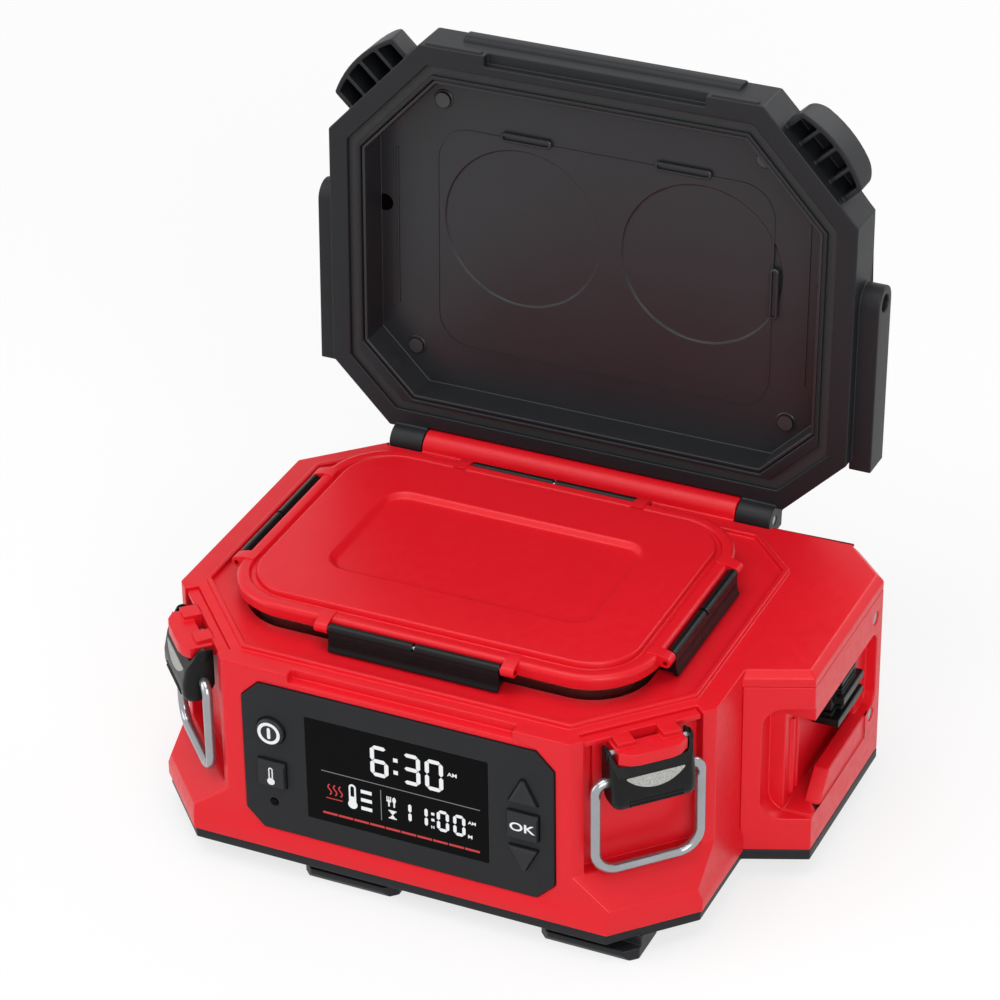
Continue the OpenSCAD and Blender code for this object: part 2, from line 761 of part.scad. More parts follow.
// ---- latches, in the frame of the right front corner: -Y points out of the corner
bar_z = deck_z - 19;
bar_out = -4.5;
turn_z = deck_z - 6;
turn_out = -3.5;
turn_r = 1.5;
bracket_w = lever_w - 7;
arm_out = turn_out - 5.2;
nose = 3.6;
wing_y = turn_out + 4.6;
wing_z = deck_z - 3.6;
lever_low = deck_z - 29;
module bracket() {
  color(red)
    difference() {
      union() {
        block([-pocket_w / 2 + 5, pocket_w / 2 - 5], [pocket_n - 2.4, pocket_n], [deck_z - 34, deck_z - 1.5]);
        block([-pocket_w / 2 + fit, pocket_w / 2 - fit], [wing_y, pocket_n], [wing_z, deck_z - 1.4]);
        block([-bracket_w / 2, bracket_w / 2], [arm_out, pocket_n - 1], [deck_z - 9, wing_z]);
        translate([0, arm_out, deck_z - 9])
          linear_extrude(height = 5.4)
            polygon([[-bracket_w / 2, 0.1], [-bracket_w / 2 + 4, 0.9 - nose], [-bracket_w / 2 + 8, -nose],
              [bracket_w / 2 - 8, -nose], [bracket_w / 2 - 4, 0.9 - nose], [bracket_w / 2, 0.1]]);
        for (s = [-1, 1])
          translate([s * (bracket_w / 2 - 5), 0, 0])
            block([-4, 4], [arm_out + 3, wing_y + 1], [wing_z - 1, deck_z - 1.2]);
        block([-bracket_w / 2 + 5, bracket_w / 2 - 5], [arm_out + 0.3, arm_out + 2.1],
          [deck_z - 20, deck_z - 8]);
      }
      block([-6, 6], [turn_out + 2.3, wing_y + 1.2], [deck_z - 12, deck_z]);
      translate([0, turn_out, turn_z])
        rod_x(turn_r + press, -bracket_w, bracket_w);
    }
}
// lever: a channel with two cheeks that hangs over the bracket's ends
lever_top = bar_z + 5.2;
face_lean = atan2(1.5, lever_top - lever_low - 8);
grip_w = 27;
grip_drop = 6.4;
grip_bow = 18;
grip_t = 0.6;
module on_lever_face() {
  translate([0, turn_out - 8, lever_top])
    rotate([90 - face_lean, 0, 0])
      children();
}
// crescent outline, grown by g
module crescent2(g) {
  intersection() {
    translate([0, grip_bow - grip_drop])
      circle(r = grip_bow + g, $fn = 96);
    translate([-grip_w / 2 - g, -grip_drop - 1])
      square([grip_w + 2 * g, grip_drop + 1 - 0.6 + g]);
  }
}
module lever() {
  cheek = lever_w / 2;
  color(black)
    difference() {
      union() {
        for (s = [-1, 1])
          translate([s * (cheek - 1.5) - 1.5, 0, 0])
            rotate([90, 0, 90])
              linear_extrude(height = 3)
                polygon([[turn_out + 4, turn_z - 2], [turn_out + 4, turn_z + 0.8],
                  [turn_out + 2, turn_z + 2], [turn_out - 2, turn_z + 2], [turn_out - 6.6, turn_z - 1],
                  [turn_out - 8, lever_top], [turn_out - 9.5, lever_low + 8],
                  [turn_out - 9.5, lever_low + 3], [turn_out - 7, lever_low], [turn_out - 2, lever_low + 1],
                  [turn_out + 3, bar_z - 5]]);
        translate([-cheek, 0, 0])
          rotate([90, 0, 90])
            linear_extrude(height = 2 * cheek)
              polygon([[turn_out - 6.9, lever_top], [turn_out - 8, lever_top],
                [turn_out - 9.5, lever_low + 8], [turn_out - 9.5, lever_low + 3], [turn_out - 7, lever_low],
                [turn_out - 3, lever_low + 0.8],
                [turn_out - 6.4, lever_low + 4]]);
      }
      translate([0, turn_out, turn_z])
        rod_x(turn_r + run, -cheek - over, cheek + over);
      translate([0, bar_out, bar_z])
        rod_x(wire_d / 2 + run, -cheek - over, cheek + over);
      on_lever_face()
        translate([0, 0, -grip_t])
          linear_extrude(height = 2 * grip_t)
            crescent2(run);
      for (z = [2.2, 3.8])
        block([-11, 11], [turn_out - 12, turn_out - 9.2], [lever_low + z + 0.8, lever_low + z + 1.6]);
    }
}
module grip() {
  color("#9B9FA3")
    on_lever_face()
      translate([0, 0, -grip_t])
        linear_extrude(height = grip_t)
          crescent2(0);
}
bail_len = deck_z + lid_h + wire_d / 2 + 0.05 - bar_z;
bail_r = 10;
module bail() {
  half = bail_w / 2 - wire_d / 2;
  r = wire_d / 2;
  bend_r = half - lever_w / 2 - 0.2;
  color(steel)
    translate([0, bar_out, bar_z]) {
      for (s = [-1, 1]) {
        mirror([s < 0 ? 1 : 0, 0, 0]) {
          rod_x(r, lever_w / 2 - 2.6, half - bend_r);
          translate([half - bend_r, 0, -bend_r])
            rotate([90, 0, 0])
              rotate_extrude(angle = 90, $fn = 48)
                translate([bend_r, 0])
                  circle(r = r, $fn = 32);
          translate([half, 0, -bail_len + bail_r])
            cylinder(r = r, h = bail_len - bail_r - bend_r, $fn = 32);
          translate([half - bail_r, 0, -bail_len + bail_r])
            rotate([90, 0, 0])
              rotate_extrude(angle = -90, $fn = 48)
                translate([bail_r, 0])
                  circle(r = r, $fn = 32);
        }
      }
      translate([0, 0, -bail_len])
        rod_x(r, -half + bail_r, half - bail_r);
    }
}
module lever_pin() {
  color(steel)
    translate([0, turn_out, turn_z])
      rod_x(turn_r, -lever_w / 2 + 0.4, lever_w / 2 - 0.4);
}
module bracket_right() {
  at_right_corner()
    bracket();
}
module bracket_left() {
  at_left_corner()
    bracket();
}
module lever_right() {
  at_right_corner()
    lever();
}
module lever_left() {
  at_left_corner()
    lever();
}
module grip_right() {
  at_right_corner()
    grip();
}
module grip_left() {
  at_left_corner()
    grip();
}
module bail_right() {
  at_right_corner()
    bail();
}
module bail_left() {
  at_left_corner()
    bail();
}
module lever_pin_right() {
  at_right_corner()
    lever_pin();
}
module lever_pin_left() {
  at_left_corner()
    lever_pin();
}

// ---- lid, drawn closed and turned open about the hinge
seam = 0.4;
lid_z = deck_z + seam;
lid_top = deck_z + lid_h;
lid_rear = hd + 18;
lip_z = deck_z + hinge_r + 1.2;
rim_w = 15.3;
lid_rc = 28;
strap_y = [-16, 70];
strap_out = 9;
module opened() {
  translate([0, hinge_y, hinge_z])
    rotate([-lid_open, 0, 0])
      translate([0, -hinge_y, -hinge_z])
        children();
}
module lid_solid() {
  union() {
    slab(oct(hw, hd, 0, lid_rc, lid_rc), lid_z, lid_top);
    slab([[-hw, hd - lid_rc - 1], [-hw + lid_rc + 15, lid_rear], [hw - lid_rc - 15, lid_rear],
      [hw, hd - lid_rc - 1]], lip_z, lid_top);
    taper(inset(12, lid_rc), lid_top, inset(16, lid_rc),
      lid_top + platform_h);
  }
}
// hollow catch hood on the corner chamfer, rounded to fit inside the bail
hood_w = bail_w - 2 * wire_d - 1.2;
hood_out = 15;
hood_bow = 52;
hood_t = 2.4;
hood_r = bail_r - wire_d / 2;
hood_low = lid_z + 5;
module hood2(w, out, r) {
  intersection() {
    rr2(w, 2 * out, r);
    translate([0, hood_bow - out])
      circle(r = hood_bow, $fn = 192);
  }
}
module hood() {
  w = hood_w;
  difference() {
    intersection() {
      translate([0, 1, hood_low])
        linear_extrude(height = lid_top - hood_low)
          hood2(w, hood_out, 6);
      translate([0, 1.5, 0])
        rotate([90, 0, 0])
          linear_extrude(height = hood_out + over)
            union() {
              translate([-w / 2, lid_z])
                square([w, lid_h - seam - hood_r]);
              translate([-w / 2 + hood_r, lid_z])
                square([w - 2 * hood_r, lid_h - seam]);
              for (s = [-1, 1])
                translate([s * (w / 2 - hood_r), lid_top - hood_r])
                  circle(r = hood_r, $fn = 64);
            }
    }
    difference() {
      translate([0, 1, lid_z])
        linear_extrude(height = lid_h - seam - hood_r / 2)
          hood2(w - 2 * hood_t, hood_out - hood_t, 6 - hood_t);
      for (x = [-10, 0, 10])
        block([x - 0.9, x + 0.9], [-hood_out, 3], [lid_z - 1, lid_top]);
    }
  }
}
module strap_lug() {
  difference() {
    union() {
      block([hw - 1, hw + strap_out], [strap_y[0] + 8, strap_y[1]], [lid_z + 6, lid_top]);
      translate([hw - 1, strap_y[0] + 8, (lid_z + 6 + lid_top) / 2])
        rotate([0, 90, 0])
          cylinder(r = (lid_top - lid_z - 6) / 2, h = strap_out + 1, $fn = 48);
    }
    translate([hw + 1, strap_y[0] + 8, (lid_z + 6 + lid_top) / 2])
      rotate([0, 90, 0])
        cylinder(r = strap_r, h = strap_out, $fn = 48);
  }
}
strap_r = 4;
lid_holes = [[-hw + 48, -hd + 31], [hw - 48, -hd + 31], [-hw + 34, hd - 34], [hw - 34, hd - 34]];
module lid_closed() {
  difference() {
    union() {
      difference() {
        union() {
          lid_solid();
          at_right_corner()
            hood();
          at_left_corner()
            hood();
        }
        slab(inset(rim_w, lid_rc - 4), lid_z - 1, lid_top - roof_t);
        slab(inset(20, lid_rc), lid_z, lid_top + platform_h - roof_t);
        // seal groove over the deck rib
        difference() {
          slab(inset(rib_in - seal_in, rear_corner - 8),
            lid_z - 1, lid_z + 5);
          slab(inset(rib_in + rib_t + seal_in, rear_corner - 9), lid_z - 2, lid_z + 6);
        }
        // room for the hinge barrel
        translate([0, hinge_y, hinge_z])
          rod_x(hinge_r + hinge_gap, -red_barrel - seam, red_barrel + seam);
        // finger grip in the front edge
        block(grip_x, [-hd - over, -hd + grip_d], [lid_z - 1, lid_z + grip_h]);
        // stacking sockets in the platform
        for (x = foot_x, y = [-1, 1])
          translate([x, y * (hd - 30), 0])
            block([-foot_w / 2 - 2, foot_w / 2 + 2], [-8, 8], [lid_top + platform_h - 1.6, lid_top + 20]);
      }
      strap_lug();
      mirror([1, 0, 0])
        strap_lug();
      // hinge knuckles
      for (s = [-1, 1])
        mirror([s < 0 ? 1 : 0, 0, 0]) {
          translate([0, hinge_y, hinge_z])
            rod_x(hinge_r, red_barrel + seam, red_barrel + seam + knuckle_w);
          block([red_barrel + seam, red_barrel + seam + knuckle_w], [hinge_y - 4, hinge_y + hinge_r],
            [hinge_z, lip_z + 1]);
        }
      // screw posts for the liner
      for (p = lid_holes)
        translate([p[0], p[1], liner_roof + liner_t])
          cylinder(r = 4.5, h = lid_top + platform_h - 2 - liner_roof - liner_t, $fn = 32);
    }
    translate([0, hinge_y, hinge_z])
      rod_x(hinge_pin_r + press, -hw, hw);
    for (p = lid_holes)
      translate([p[0], p[1], liner_roof])
        cylinder(r = pilot_r, h = 7, $fn = 32);
  }
}
module lid_shell() {
  color(black)
    opened()
      lid_closed();
}
liner_roof = lid_top - 5;
liner_in = 15.5;
liner_wall = 1.6;
dish_x = 5;
dish_y = -7.5;
dish_r = 37;
module lid_liner() {
  color(black)
    opened()
      difference() {
        slab(inset(liner_in, lid_rc - 4), lid_z + 1, liner_roof + liner_t);
        slab(inset(liner_in + liner_wall, lid_rc - 5), lid_z, liner_roof);
        // round dishes in the roof
        for (x = [-42, 42])
          translate([dish_x + x, dish_y, liner_roof - 1])
            cylinder(r = dish_r, h = 1.8, $fn = 96);
        for (p = lid_holes)
          translate([p[0], p[1], lid_z])
            cylinder(r = screw_r + fit, h = 4 * over, $fn = 32);
      }
}
seal_in = 1;
module lid_seal() {
  color("#17181A")
    opened()
      difference() {
        slab(inset(rib_in - seal_in, rear_corner - 8),
          deck_z + rib_h + 0.1, lid_z + 5);
        slab(inset(rib_in + rib_t + seal_in, rear_corner - 9), lid_z + 1, lid_z + 6);
      }
}
pad_in = 22;
module lid_insulation() {
  color("#E7E2D3")
    opened()
      difference() {
        slab(inset(pad_in, lid_rc), liner_roof + liner_t + run,
          lid_top + platform_h - roof_t - run);
        for (p = lid_holes)
          translate([p[0], p[1], lid_z])
            cylinder(r = post_r, h = 4 * over, $fn = 32);
      }
}
module lid_screws() {
  color(steel)
    opened()
      for (p = lid_holes)
        translate([p[0], p[1], liner_roof - 1.4]) {
          cylinder(r = 3.4, h = 1.4, $fn = 32);
          cylinder(r = screw_r, h = 7.4, $fn = 32);
        }
}
module hinge_pin() {
  color(steel)
    translate([0, hinge_y, hinge_z])
      rod_x(hinge_pin_r, -red_barrel - knuckle_w, red_barrel + knuckle_w);
}

// ---- food container, seated on the heater plate
tub_z = plate_z;
rim_z = tub_z + tub_h;
tub_w = well_w - 2 * tub_gap;
tub_d = well_d - 2 * tub_gap;
tub_r = well_r - tub_gap;
foot_in = 12;
foot_rise = 4;
rim_out = 4;
rim_t = 3.4;
// container body, all sides moved in by t
module tub_foot(t, z0, z1) {
  low = 2 * (foot_in + foot_rise);
  high = 2 * (foot_in + t);
  rr_taper(tub_w - low, tub_d - low, tub_r - foot_in + 2, z0, tub_w - high, tub_d - high, tub_r - 6 - t, z1);
}
module tub_wall(t, z0, z1) {
  low = 2 * (foot_in + t);
  rr_taper(tub_w - low, tub_d - low, tub_r - 6 - t, z0, tub_w - 2 * t, tub_d - 2 * t, tub_r - t, z1);
}
module tub() {
  color(steel)
    translate([well_x, well_y, 0])
      difference() {
        union() {
          tub_foot(0, tub_z, tub_z + foot_rise);
          tub_wall(0, tub_z + foot_rise - eps, rim_z);
          rr(tub_w + 2 * rim_out, tub_d + 2 * rim_out, tub_r + rim_out, rim_z - rim_t, rim_z);
        }
        tub_foot(steel_t, tub_z + steel_t, tub_z + foot_rise);
        tub_wall(steel_t, tub_z + foot_rise - 2 * eps, rim_z + 1);
      }
}
cap_over = 2.3;
cap_w = tub_w + 2 * rim_out + 2 * cap_over;
cap_d = tub_d + 2 * rim_out + 2 * cap_over;
cap_r = tub_r + rim_out + cap_over;
cap_low = rim_z - 2.6;
cap_top = rim_z + 5.4;
seal_h = 1.4;
pivot_z = cap_top - 3;
pivot_out = 2.7;
flap_r = 2.2;
flap_pin_r = 1;
lug_r = 2.4;
field_h = 1.4;
field_in = 17;
flap_len = [77, 68];
lug_w = 6;
lug_gap = 0.6;
module tub_lid() {
  color(red)
    translate([well_x, well_y, 0])
      difference() {
        union() {
          rr(cap_w, cap_d, cap_r, cap_low, cap_top);
          rr(cap_w - field_in, cap_d - field_in, cap_r - 8, cap_top - 2, cap_top + field_h);
          for (a = [0, 180])
            rotate([0, 0, a])
              lugs(flap_len[0], cap_d / 2);
          for (a = [90, 270])
            rotate([0, 0, a])
              lugs(flap_len[1], cap_w / 2);
        }
        // room for the rim, and the seal above it
        rr(tub_w + 2 * rim_out + 2 * fit, tub_d + 2 * rim_out + 2 * fit, tub_r + rim_out + fit, cap_low - 1,
          rim_z + seal_h);
        // moat round the raised field, recessed centre panel
        difference() {
          rr(cap_w - 12, cap_d - 12, cap_r - 5, cap_top - 1.4, cap_top + 3);
          rr(cap_w - field_in, cap_d - field_in, cap_r - 8, cap_top - 2, cap_top + 4);
        }
        rr(cap_w - 72, cap_d - 70, 9, cap_top - 1, cap_top + 3);
      }
}
module lugs(len, out) {
  for (s = [-1, 1])
    mirror([s < 0 ? 1 : 0, 0, 0])
      difference() {
        union() {
          block([len / 2 + lug_gap, len / 2 + lug_gap + lug_w], [-out - pivot_out, -out + 4],
            [pivot_z - lug_r, pivot_z + lug_r]);
          translate([0, -out - pivot_out, pivot_z])
            rod_x(lug_r, len / 2 + lug_gap, len / 2 + lug_gap + lug_w);
        }
        translate([0, -out - pivot_out, pivot_z])
          rod_x(flap_pin_r + press, 0, len);
      }
}
module flap(len, out) {
  translate([0, -out - pivot_out, pivot_z])
    difference() {
      union() {
        rod_x(flap_r, -len / 2, len / 2);
        block([-len / 2, len / 2], [-flap_r, 0], [-flap_drop, 0]);
        for (s = [-1, 1])
          block([s * (len / 2 - 8) - 8, s * (len / 2 - 8) + 8], [-flap_r, hook_reach],
            [-flap_drop, 1.8 - flap_drop]);
      }
      rod_x(flap_pin_r + run, -len, len);
    }
}
flap_drop = pivot_z - (rim_z - rim_t) + 2.1;
hook_reach = pivot_out + 3.3;
module flap_front() {
  color(black)
    translate([well_x, well_y, 0])
      flap(flap_len[0], cap_d / 2);
}
module flap_rear() {
  color(black)
    translate([well_x, well_y, 0])
      rotate([0, 0, 180])
        flap(flap_len[0], cap_d / 2);
}
module flap_right() {
  color(black)
    translate([well_x, well_y, 0])
      rotate([0, 0, 90])
        flap(flap_len[1], cap_w / 2);
}
module flap_left() {
  color(black)
    translate([well_x, well_y, 0])
      rotate([0, 0, 270])
        flap(flap_len[1], cap_w / 2);
}
module flap_pins() {
  color(steel)
    translate([well_x, well_y, 0])
      for (a = [0, 90, 180, 270]) {
        len = a % 180 == 0 ? flap_len[0] : flap_len[1];
        out = a % 180 == 0 ? cap_d / 2 : cap_w / 2;
        rotate([0, 0, a])
          translate([0, -out - pivot_out, pivot_z])
            rod_x(flap_pin_r, -len / 2 - lug_gap - lug_w, len / 2 + lug_gap + lug_w);
      }
}
module tub_seal() {
  color("#C9CCCE")
    translate([well_x, well_y, 0])
      difference() {
        rr(tub_w + 2 * rim_out, tub_d + 2 * rim_out, tub_r + rim_out, rim_z, rim_z + seal_h);
        rr(tub_w - 4, tub_d - 4, tub_r - 2, rim_z - 1, rim_z + seal_h + 1);
      }
}

base_plate();
main_shell();
well_liner();
battery_bay();
base_screws();
bay_screws();
heater_plate();
heating_element();
insulation_pad();
heat_shield();
temp_sensor();
thermal_fuse();
power_board();
wiring();
panel_bezel();
display_window();
display_module();
control_board();
key_switches();
power_button();
temp_button();
up_button();
ok_button();
down_button();
status_light();
terminal_block();
contact_blades();
bracket_left();
bracket_right();
lever_left();
lever_right();
grip_left();
grip_right();
bail_left();
bail_right();
lever_pin_left();
lever_pin_right();
lid_shell();
lid_liner();
lid_seal();
lid_insulation();
lid_screws();
hinge_pin();
tub();
tub_lid();
tub_seal();
flap_front();
flap_rear();
flap_left();
flap_right();
flap_pins();
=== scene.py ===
"""Looks of an electric lunch box: red housing, black lid, steel food container and control panel."""
import math

import bmesh
import bpy
from mathutils import Matrix, Vector


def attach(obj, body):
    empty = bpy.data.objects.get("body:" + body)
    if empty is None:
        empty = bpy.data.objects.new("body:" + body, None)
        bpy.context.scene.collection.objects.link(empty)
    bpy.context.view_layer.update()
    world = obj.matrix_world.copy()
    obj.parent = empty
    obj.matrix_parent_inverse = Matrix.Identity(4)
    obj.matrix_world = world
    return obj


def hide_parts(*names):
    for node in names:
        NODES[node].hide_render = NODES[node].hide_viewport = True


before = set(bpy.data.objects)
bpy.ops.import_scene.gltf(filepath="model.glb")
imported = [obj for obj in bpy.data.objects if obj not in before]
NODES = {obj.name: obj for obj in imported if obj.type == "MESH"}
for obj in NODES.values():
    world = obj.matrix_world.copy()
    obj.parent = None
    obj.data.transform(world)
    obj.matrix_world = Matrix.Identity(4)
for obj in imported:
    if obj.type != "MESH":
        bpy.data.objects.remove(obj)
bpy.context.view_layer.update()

MM = 0.001

# ---------------------------------------------------------------- sizes of the part, in millimetres
BODY_HALF_W, BODY_HALF_D = 122.5, 93.5
CORNER_X, CORNER_Y = 44.0, 47.0
WELL = Vector((-1.5, 2.0, 0.0))
HINGE = Vector((0.0, 99.0, 103.0))
LID_OPEN = -92.0
PANEL_X, PANEL_Z = 1.0, 60.0
GLASS_FACE = -94.3
KEY_FACE = -95.7
TUB_Z, RIM_Z = 41.0, 111.0
TUB_SIZE = (178.0, 124.0)
LINER_ROOF = 120.0
CAP_SIZE, CAP_RADIUS, CAP_TOP = (190.6, 136.6), 30.3, 116.4
PIVOT_Z, PIVOT_OUT = 113.4, 2.7

# ---------------------------------------------------------------- camera, light and floor, in metres
LENS = 140.97
CAMERA_PLACE = (0.5935, -1.2670, 0.9906)
CAMERA_TURN, CAMERA_ABOVE, CAMERA_ROLL = 24.88, 31.11, -0.82
LAMP_TARGET = Vector((0.0, 0.0, 0.08))
# place, size and watts of each lamp
LAMPS = {
    "front_right_softbox": ((1.1, -1.3, 1.0), (1.0, 1.0), 17),
    "overhead_softbox": ((-0.2, -0.3, 1.7), (1.4, 1.4), 16.5),
    "left_fill": ((-1.5, -0.9, 0.7), (1.0, 1.2), 9),
    "rear_rim": ((0.6, 1.5, 1.1), (1.2, 0.6), 7),
}
AMBIENT = 0.33
FLOOR_HALF = 6.0
# the floor's share of plain white beside the object and away from it, and how far out each of them holds
NEAR_WHITE, FAR_WHITE = 0.72, 1.0
NEAR, FAR = 0.3, 1.3


def in_scene(thing):
    bpy.context.scene.collection.objects.link(thing)
    return thing


def rotated(degrees, axis):
    return Matrix.Rotation(math.radians(degrees), 4, axis)


def make_camera():
    data = bpy.data.cameras.new("photo_camera")
    data.lens = LENS
    camera = in_scene(bpy.data.objects.new("photo_camera", data))
    aim = rotated(CAMERA_TURN, "Z") @ rotated(90 - CAMERA_ABOVE, "X") @ rotated(CAMERA_ROLL, "Z")
    camera.matrix_world = Matrix.Translation(CAMERA_PLACE) @ aim
    bpy.context.scene.camera = camera


def make_lamp(name, place, size, watts):
    data = bpy.data.lights.new(name, "AREA")
    data.shape = "RECTANGLE"
    data.size, data.size_y = size
    data.energy = watts
    lamp = in_scene(bpy.data.objects.new(name, data))
    lamp.location = place
    lamp.rotation_euler = (LAMP_TARGET - Vector(place)).to_track_quat("-Z", "Y").to_euler()


def linear(code):
    """An sRGB hex colour as linear red, green, blue and alpha, by the standard curve."""
    parts = [int(code[i:i + 2], 16) / 255 for i in (0, 2, 4)]
    return tuple(p / 12.92 if p <= 0.04045 else ((p + 0.055) / 1.055) ** 2.4 for p in parts) + (1.0,)


def add(tree, kind, links=None, **settings):
    """Adds a shader node, with its settings and what comes into it."""
    made = tree.nodes.new("ShaderNode" + kind)
    for name, value in settings.items():
        if hasattr(made, name):
            setattr(made, name, value)
        else:
            made.inputs[name.replace("_", " ")].default_value = value
    for name, socket in (links or {}).items():
        tree.links.new(socket, made.inputs[name])
    return made


def seen_directly(tree):
    """1 for what the camera sees straight, in a reflection or through glass."""
    path = add(tree, "LightPath")
    straight = add(tree, "Math", {0: path.outputs["Is Camera Ray"], 1: path.outputs["Is Glossy Ray"]},
                   operation="MAXIMUM")
    both = add(tree, "Math", {0: straight.outputs[0], 1: path.outputs["Is Transmission Ray"]},
               operation="MAXIMUM")
    return both.outputs[0]


def make_world():
    world = bpy.data.worlds.new("studio")
    world.use_nodes = True
    tree = world.node_tree
    tree.nodes.clear()
    ambient = add(tree, "Background", Color=linear("FFFFFF"), Strength=AMBIENT)
    white = add(tree, "Background", Color=linear("FFFFFF"), Strength=1.0)
    mix = add(tree, "MixShader", {0: seen_directly(tree), 1: ambient.outputs[0], 2: white.outputs[0]})
    add(tree, "OutputWorld", {"Surface": mix.outputs[0]})
    bpy.context.scene.world = world


def empty_material(name):
    """A new material and its node tree, with nothing in it."""
    material = bpy.data.materials.new(name)
    material.use_nodes = True
    material.node_tree.nodes.clear()
    return material, material.node_tree


def floor_paper():
    """Matt white paper that fades to plain white away from the object and its shadow."""
    material, tree = empty_material("matt white paper")
    paper = add(tree, "BsdfDiffuse", Color=linear("F4F4F4"))
    white = add(tree, "Emission", Color=linear("FFFFFF"), Strength=1.0)
    away = add(tree, "VectorMath", {0: add(tree, "TexCoord").outputs["Object"]}, operation="LENGTH")
    fade = add(tree, "MapRange", {0: away.outputs["Value"]}, From_Min=NEAR, From_Max=FAR,
               To_Min=NEAR_WHITE, To_Max=FAR_WHITE)
    share = add(tree, "Math", {0: seen_directly(tree), 1: fade.outputs[0]}, operation="MULTIPLY")
    mix = add(tree, "MixShader", {0: share.outputs[0], 1: paper.outputs[0], 2: white.outputs[0]})
    add(tree, "OutputMaterial", {"Surface": mix.outputs[0]})
    return material


def make_floor():
    bm = bmesh.new()
    bmesh.ops.create_grid(bm, x_segments=1, y_segments=1, size=FLOOR_HALF)
    mesh = bpy.data.meshes.new("studio_floor")
    bm.to_mesh(mesh)
    bm.free()
    mesh.materials.append(floor_paper())
    in_scene(bpy.data.objects.new("studio_floor", mesh))


def make_studio():
    make_camera()
    make_world()
    make_floor()
    for name, (place, size, watts) in LAMPS.items():
        make_lamp(name, place, size, watts)
    bpy.context.scene.view_settings.view_transform = "Standard"


# ---------------------------------------------------------------- materials
# the values that most of a noise lies between
NOISE_LOW, NOISE_HIGH = 0.3, 0.7
# patches of gloss are this many times smaller than the blotches of colour
PATCH_SHARE = 9
# lit marks are weaker by a tenth in specks of this size, in millimetres
SPECK_MM, SPECK_LEVEL = 0.6, 0.9


def finish_of(name, colour, shade, rough, grain_mm, depth_mm, blotch_mm=35.0, rough_swing=0.05,
              stretch=(1.0, 1.0, 1.0), **fixed):
    """A surface with a slow shift from colour to shade, uneven gloss and a fine bump."""
    material, tree = empty_material(name)
    place = add(tree, "TexCoord").outputs["Object"]
    drawn_out = add(tree, "Mapping", {"Vector": place}, Scale=stretch).outputs[0]
    blotch = add(tree, "TexNoise", {"Vector": place}, Scale=1 / (blotch_mm * MM), Detail=3.0)
    patch = add(tree, "TexNoise", {"Vector": drawn_out}, Scale=PATCH_SHARE / (blotch_mm * MM), Detail=4.0)
    grain = add(tree, "TexNoise", {"Vector": drawn_out}, Scale=1 / (grain_mm * MM), Detail=2.0)
    tint = add(tree, "MixRGB", {0: blotch.outputs[0]}, Color1=linear(colour), Color2=linear(shade))
    gloss = add(tree, "MapRange", {0: patch.outputs[0]}, From_Min=NOISE_LOW, From_Max=NOISE_HIGH,
                To_Min=rough - rough_swing, To_Max=rough + rough_swing)
    bump = add(tree, "Bump", {"Height": grain.outputs[0]}, Strength=1.0, Distance=depth_mm * MM)
    shader = add(tree, "BsdfPrincipled", {"Base Color": tint.outputs[0], "Roughness": gloss.outputs[0],
                                          "Normal": bump.outputs[0]}, **fixed)
    add(tree, "OutputMaterial", {"Surface": shader.outputs[0]})
    return material


def glow_of(name, code, strength):
    """A lit mark that shows its own colour."""
    material, tree = empty_material(name)
    place = add(tree, "TexCoord").outputs["Object"]
    speck = add(tree, "TexNoise", {"Vector": place}, Scale=1 / (SPECK_MM * MM), Detail=2.0)
    level = add(tree, "MapRange", {0: speck.outputs[0]}, To_Min=strength * SPECK_LEVEL, To_Max=strength)
    shader = add(tree, "BsdfPrincipled", {"Emission Strength": level.outputs[0]},
                 Base_Color=linear("101012"), Emission_Color=linear(code), Roughness=0.3)
    add(tree, "OutputMaterial", {"Surface": shader.outputs[0]})
    return material


# Real mould grain, brush lines and plating crystals are about 0.05 to 0.1 mm wide, too fine to show in the
# render, so every grain_mm is drawn several times as coarse.

# Red ABS from a spark-eroded mould: a clear, even red with a satin skin
RED_ABS = finish_of("red moulded ABS", "DA1322", "D2101D", rough=0.37, grain_mm=0.45, depth_mm=0.012,
                    IOR=1.53, Specular_IOR_Level=0.26)
# The well's mould is polished smoother than the outside, so its red looks deeper and wetter
WELL_ABS = finish_of("red polished ABS", "D6101D", "CE0E1A", rough=0.3, grain_mm=0.9, depth_mm=0.006,
                     IOR=1.53, Specular_IOR_Level=0.3)
# Red polypropylene from a satin mould: a little waxy, with softer highlights than the housing
RED_PP = finish_of("red polypropylene", "D81321", "D0101D", rough=0.36, grain_mm=0.5, depth_mm=0.008,
                   IOR=1.49, Specular_IOR_Level=0.3)
# Black glass-filled ABS with a leathery mould grain: a soft black without a clear highlight
BLACK_ABS = finish_of("black grained ABS", "1B1C1F", "17181B", rough=0.48, grain_mm=0.7, depth_mm=0.02,
                      rough_swing=0.015, IOR=1.53, Specular_IOR_Level=0.22)
# Black ABS from a smooth mould, for the lid's inner tray: flat grey-black with broad, clean highlights
TRAY_ABS = finish_of("black smooth ABS", "252629", "202124", rough=0.34, grain_mm=0.8, depth_mm=0.01,
                     rough_swing=0.02, IOR=1.53, Specular_IOR_Level=0.32)
# Charcoal ABS from a matt mould, for the panel's frame: the same tone all over, with no highlight
PANEL_ABS = finish_of("charcoal matt ABS", "232426", "202123", rough=0.55, grain_mm=0.4, depth_mm=0.01,
                      IOR=1.53, Specular_IOR_Level=0.14)
# Moulded silicone keys: dull and a shade darker than the frame, with a soft light on their slopes
KEY_RUBBER = finish_of("charcoal silicone rubber", "202123", "1D1E20", rough=0.42, grain_mm=0.35,
                       depth_mm=0.008, IOR=1.41, Specular_IOR_Level=0.35)
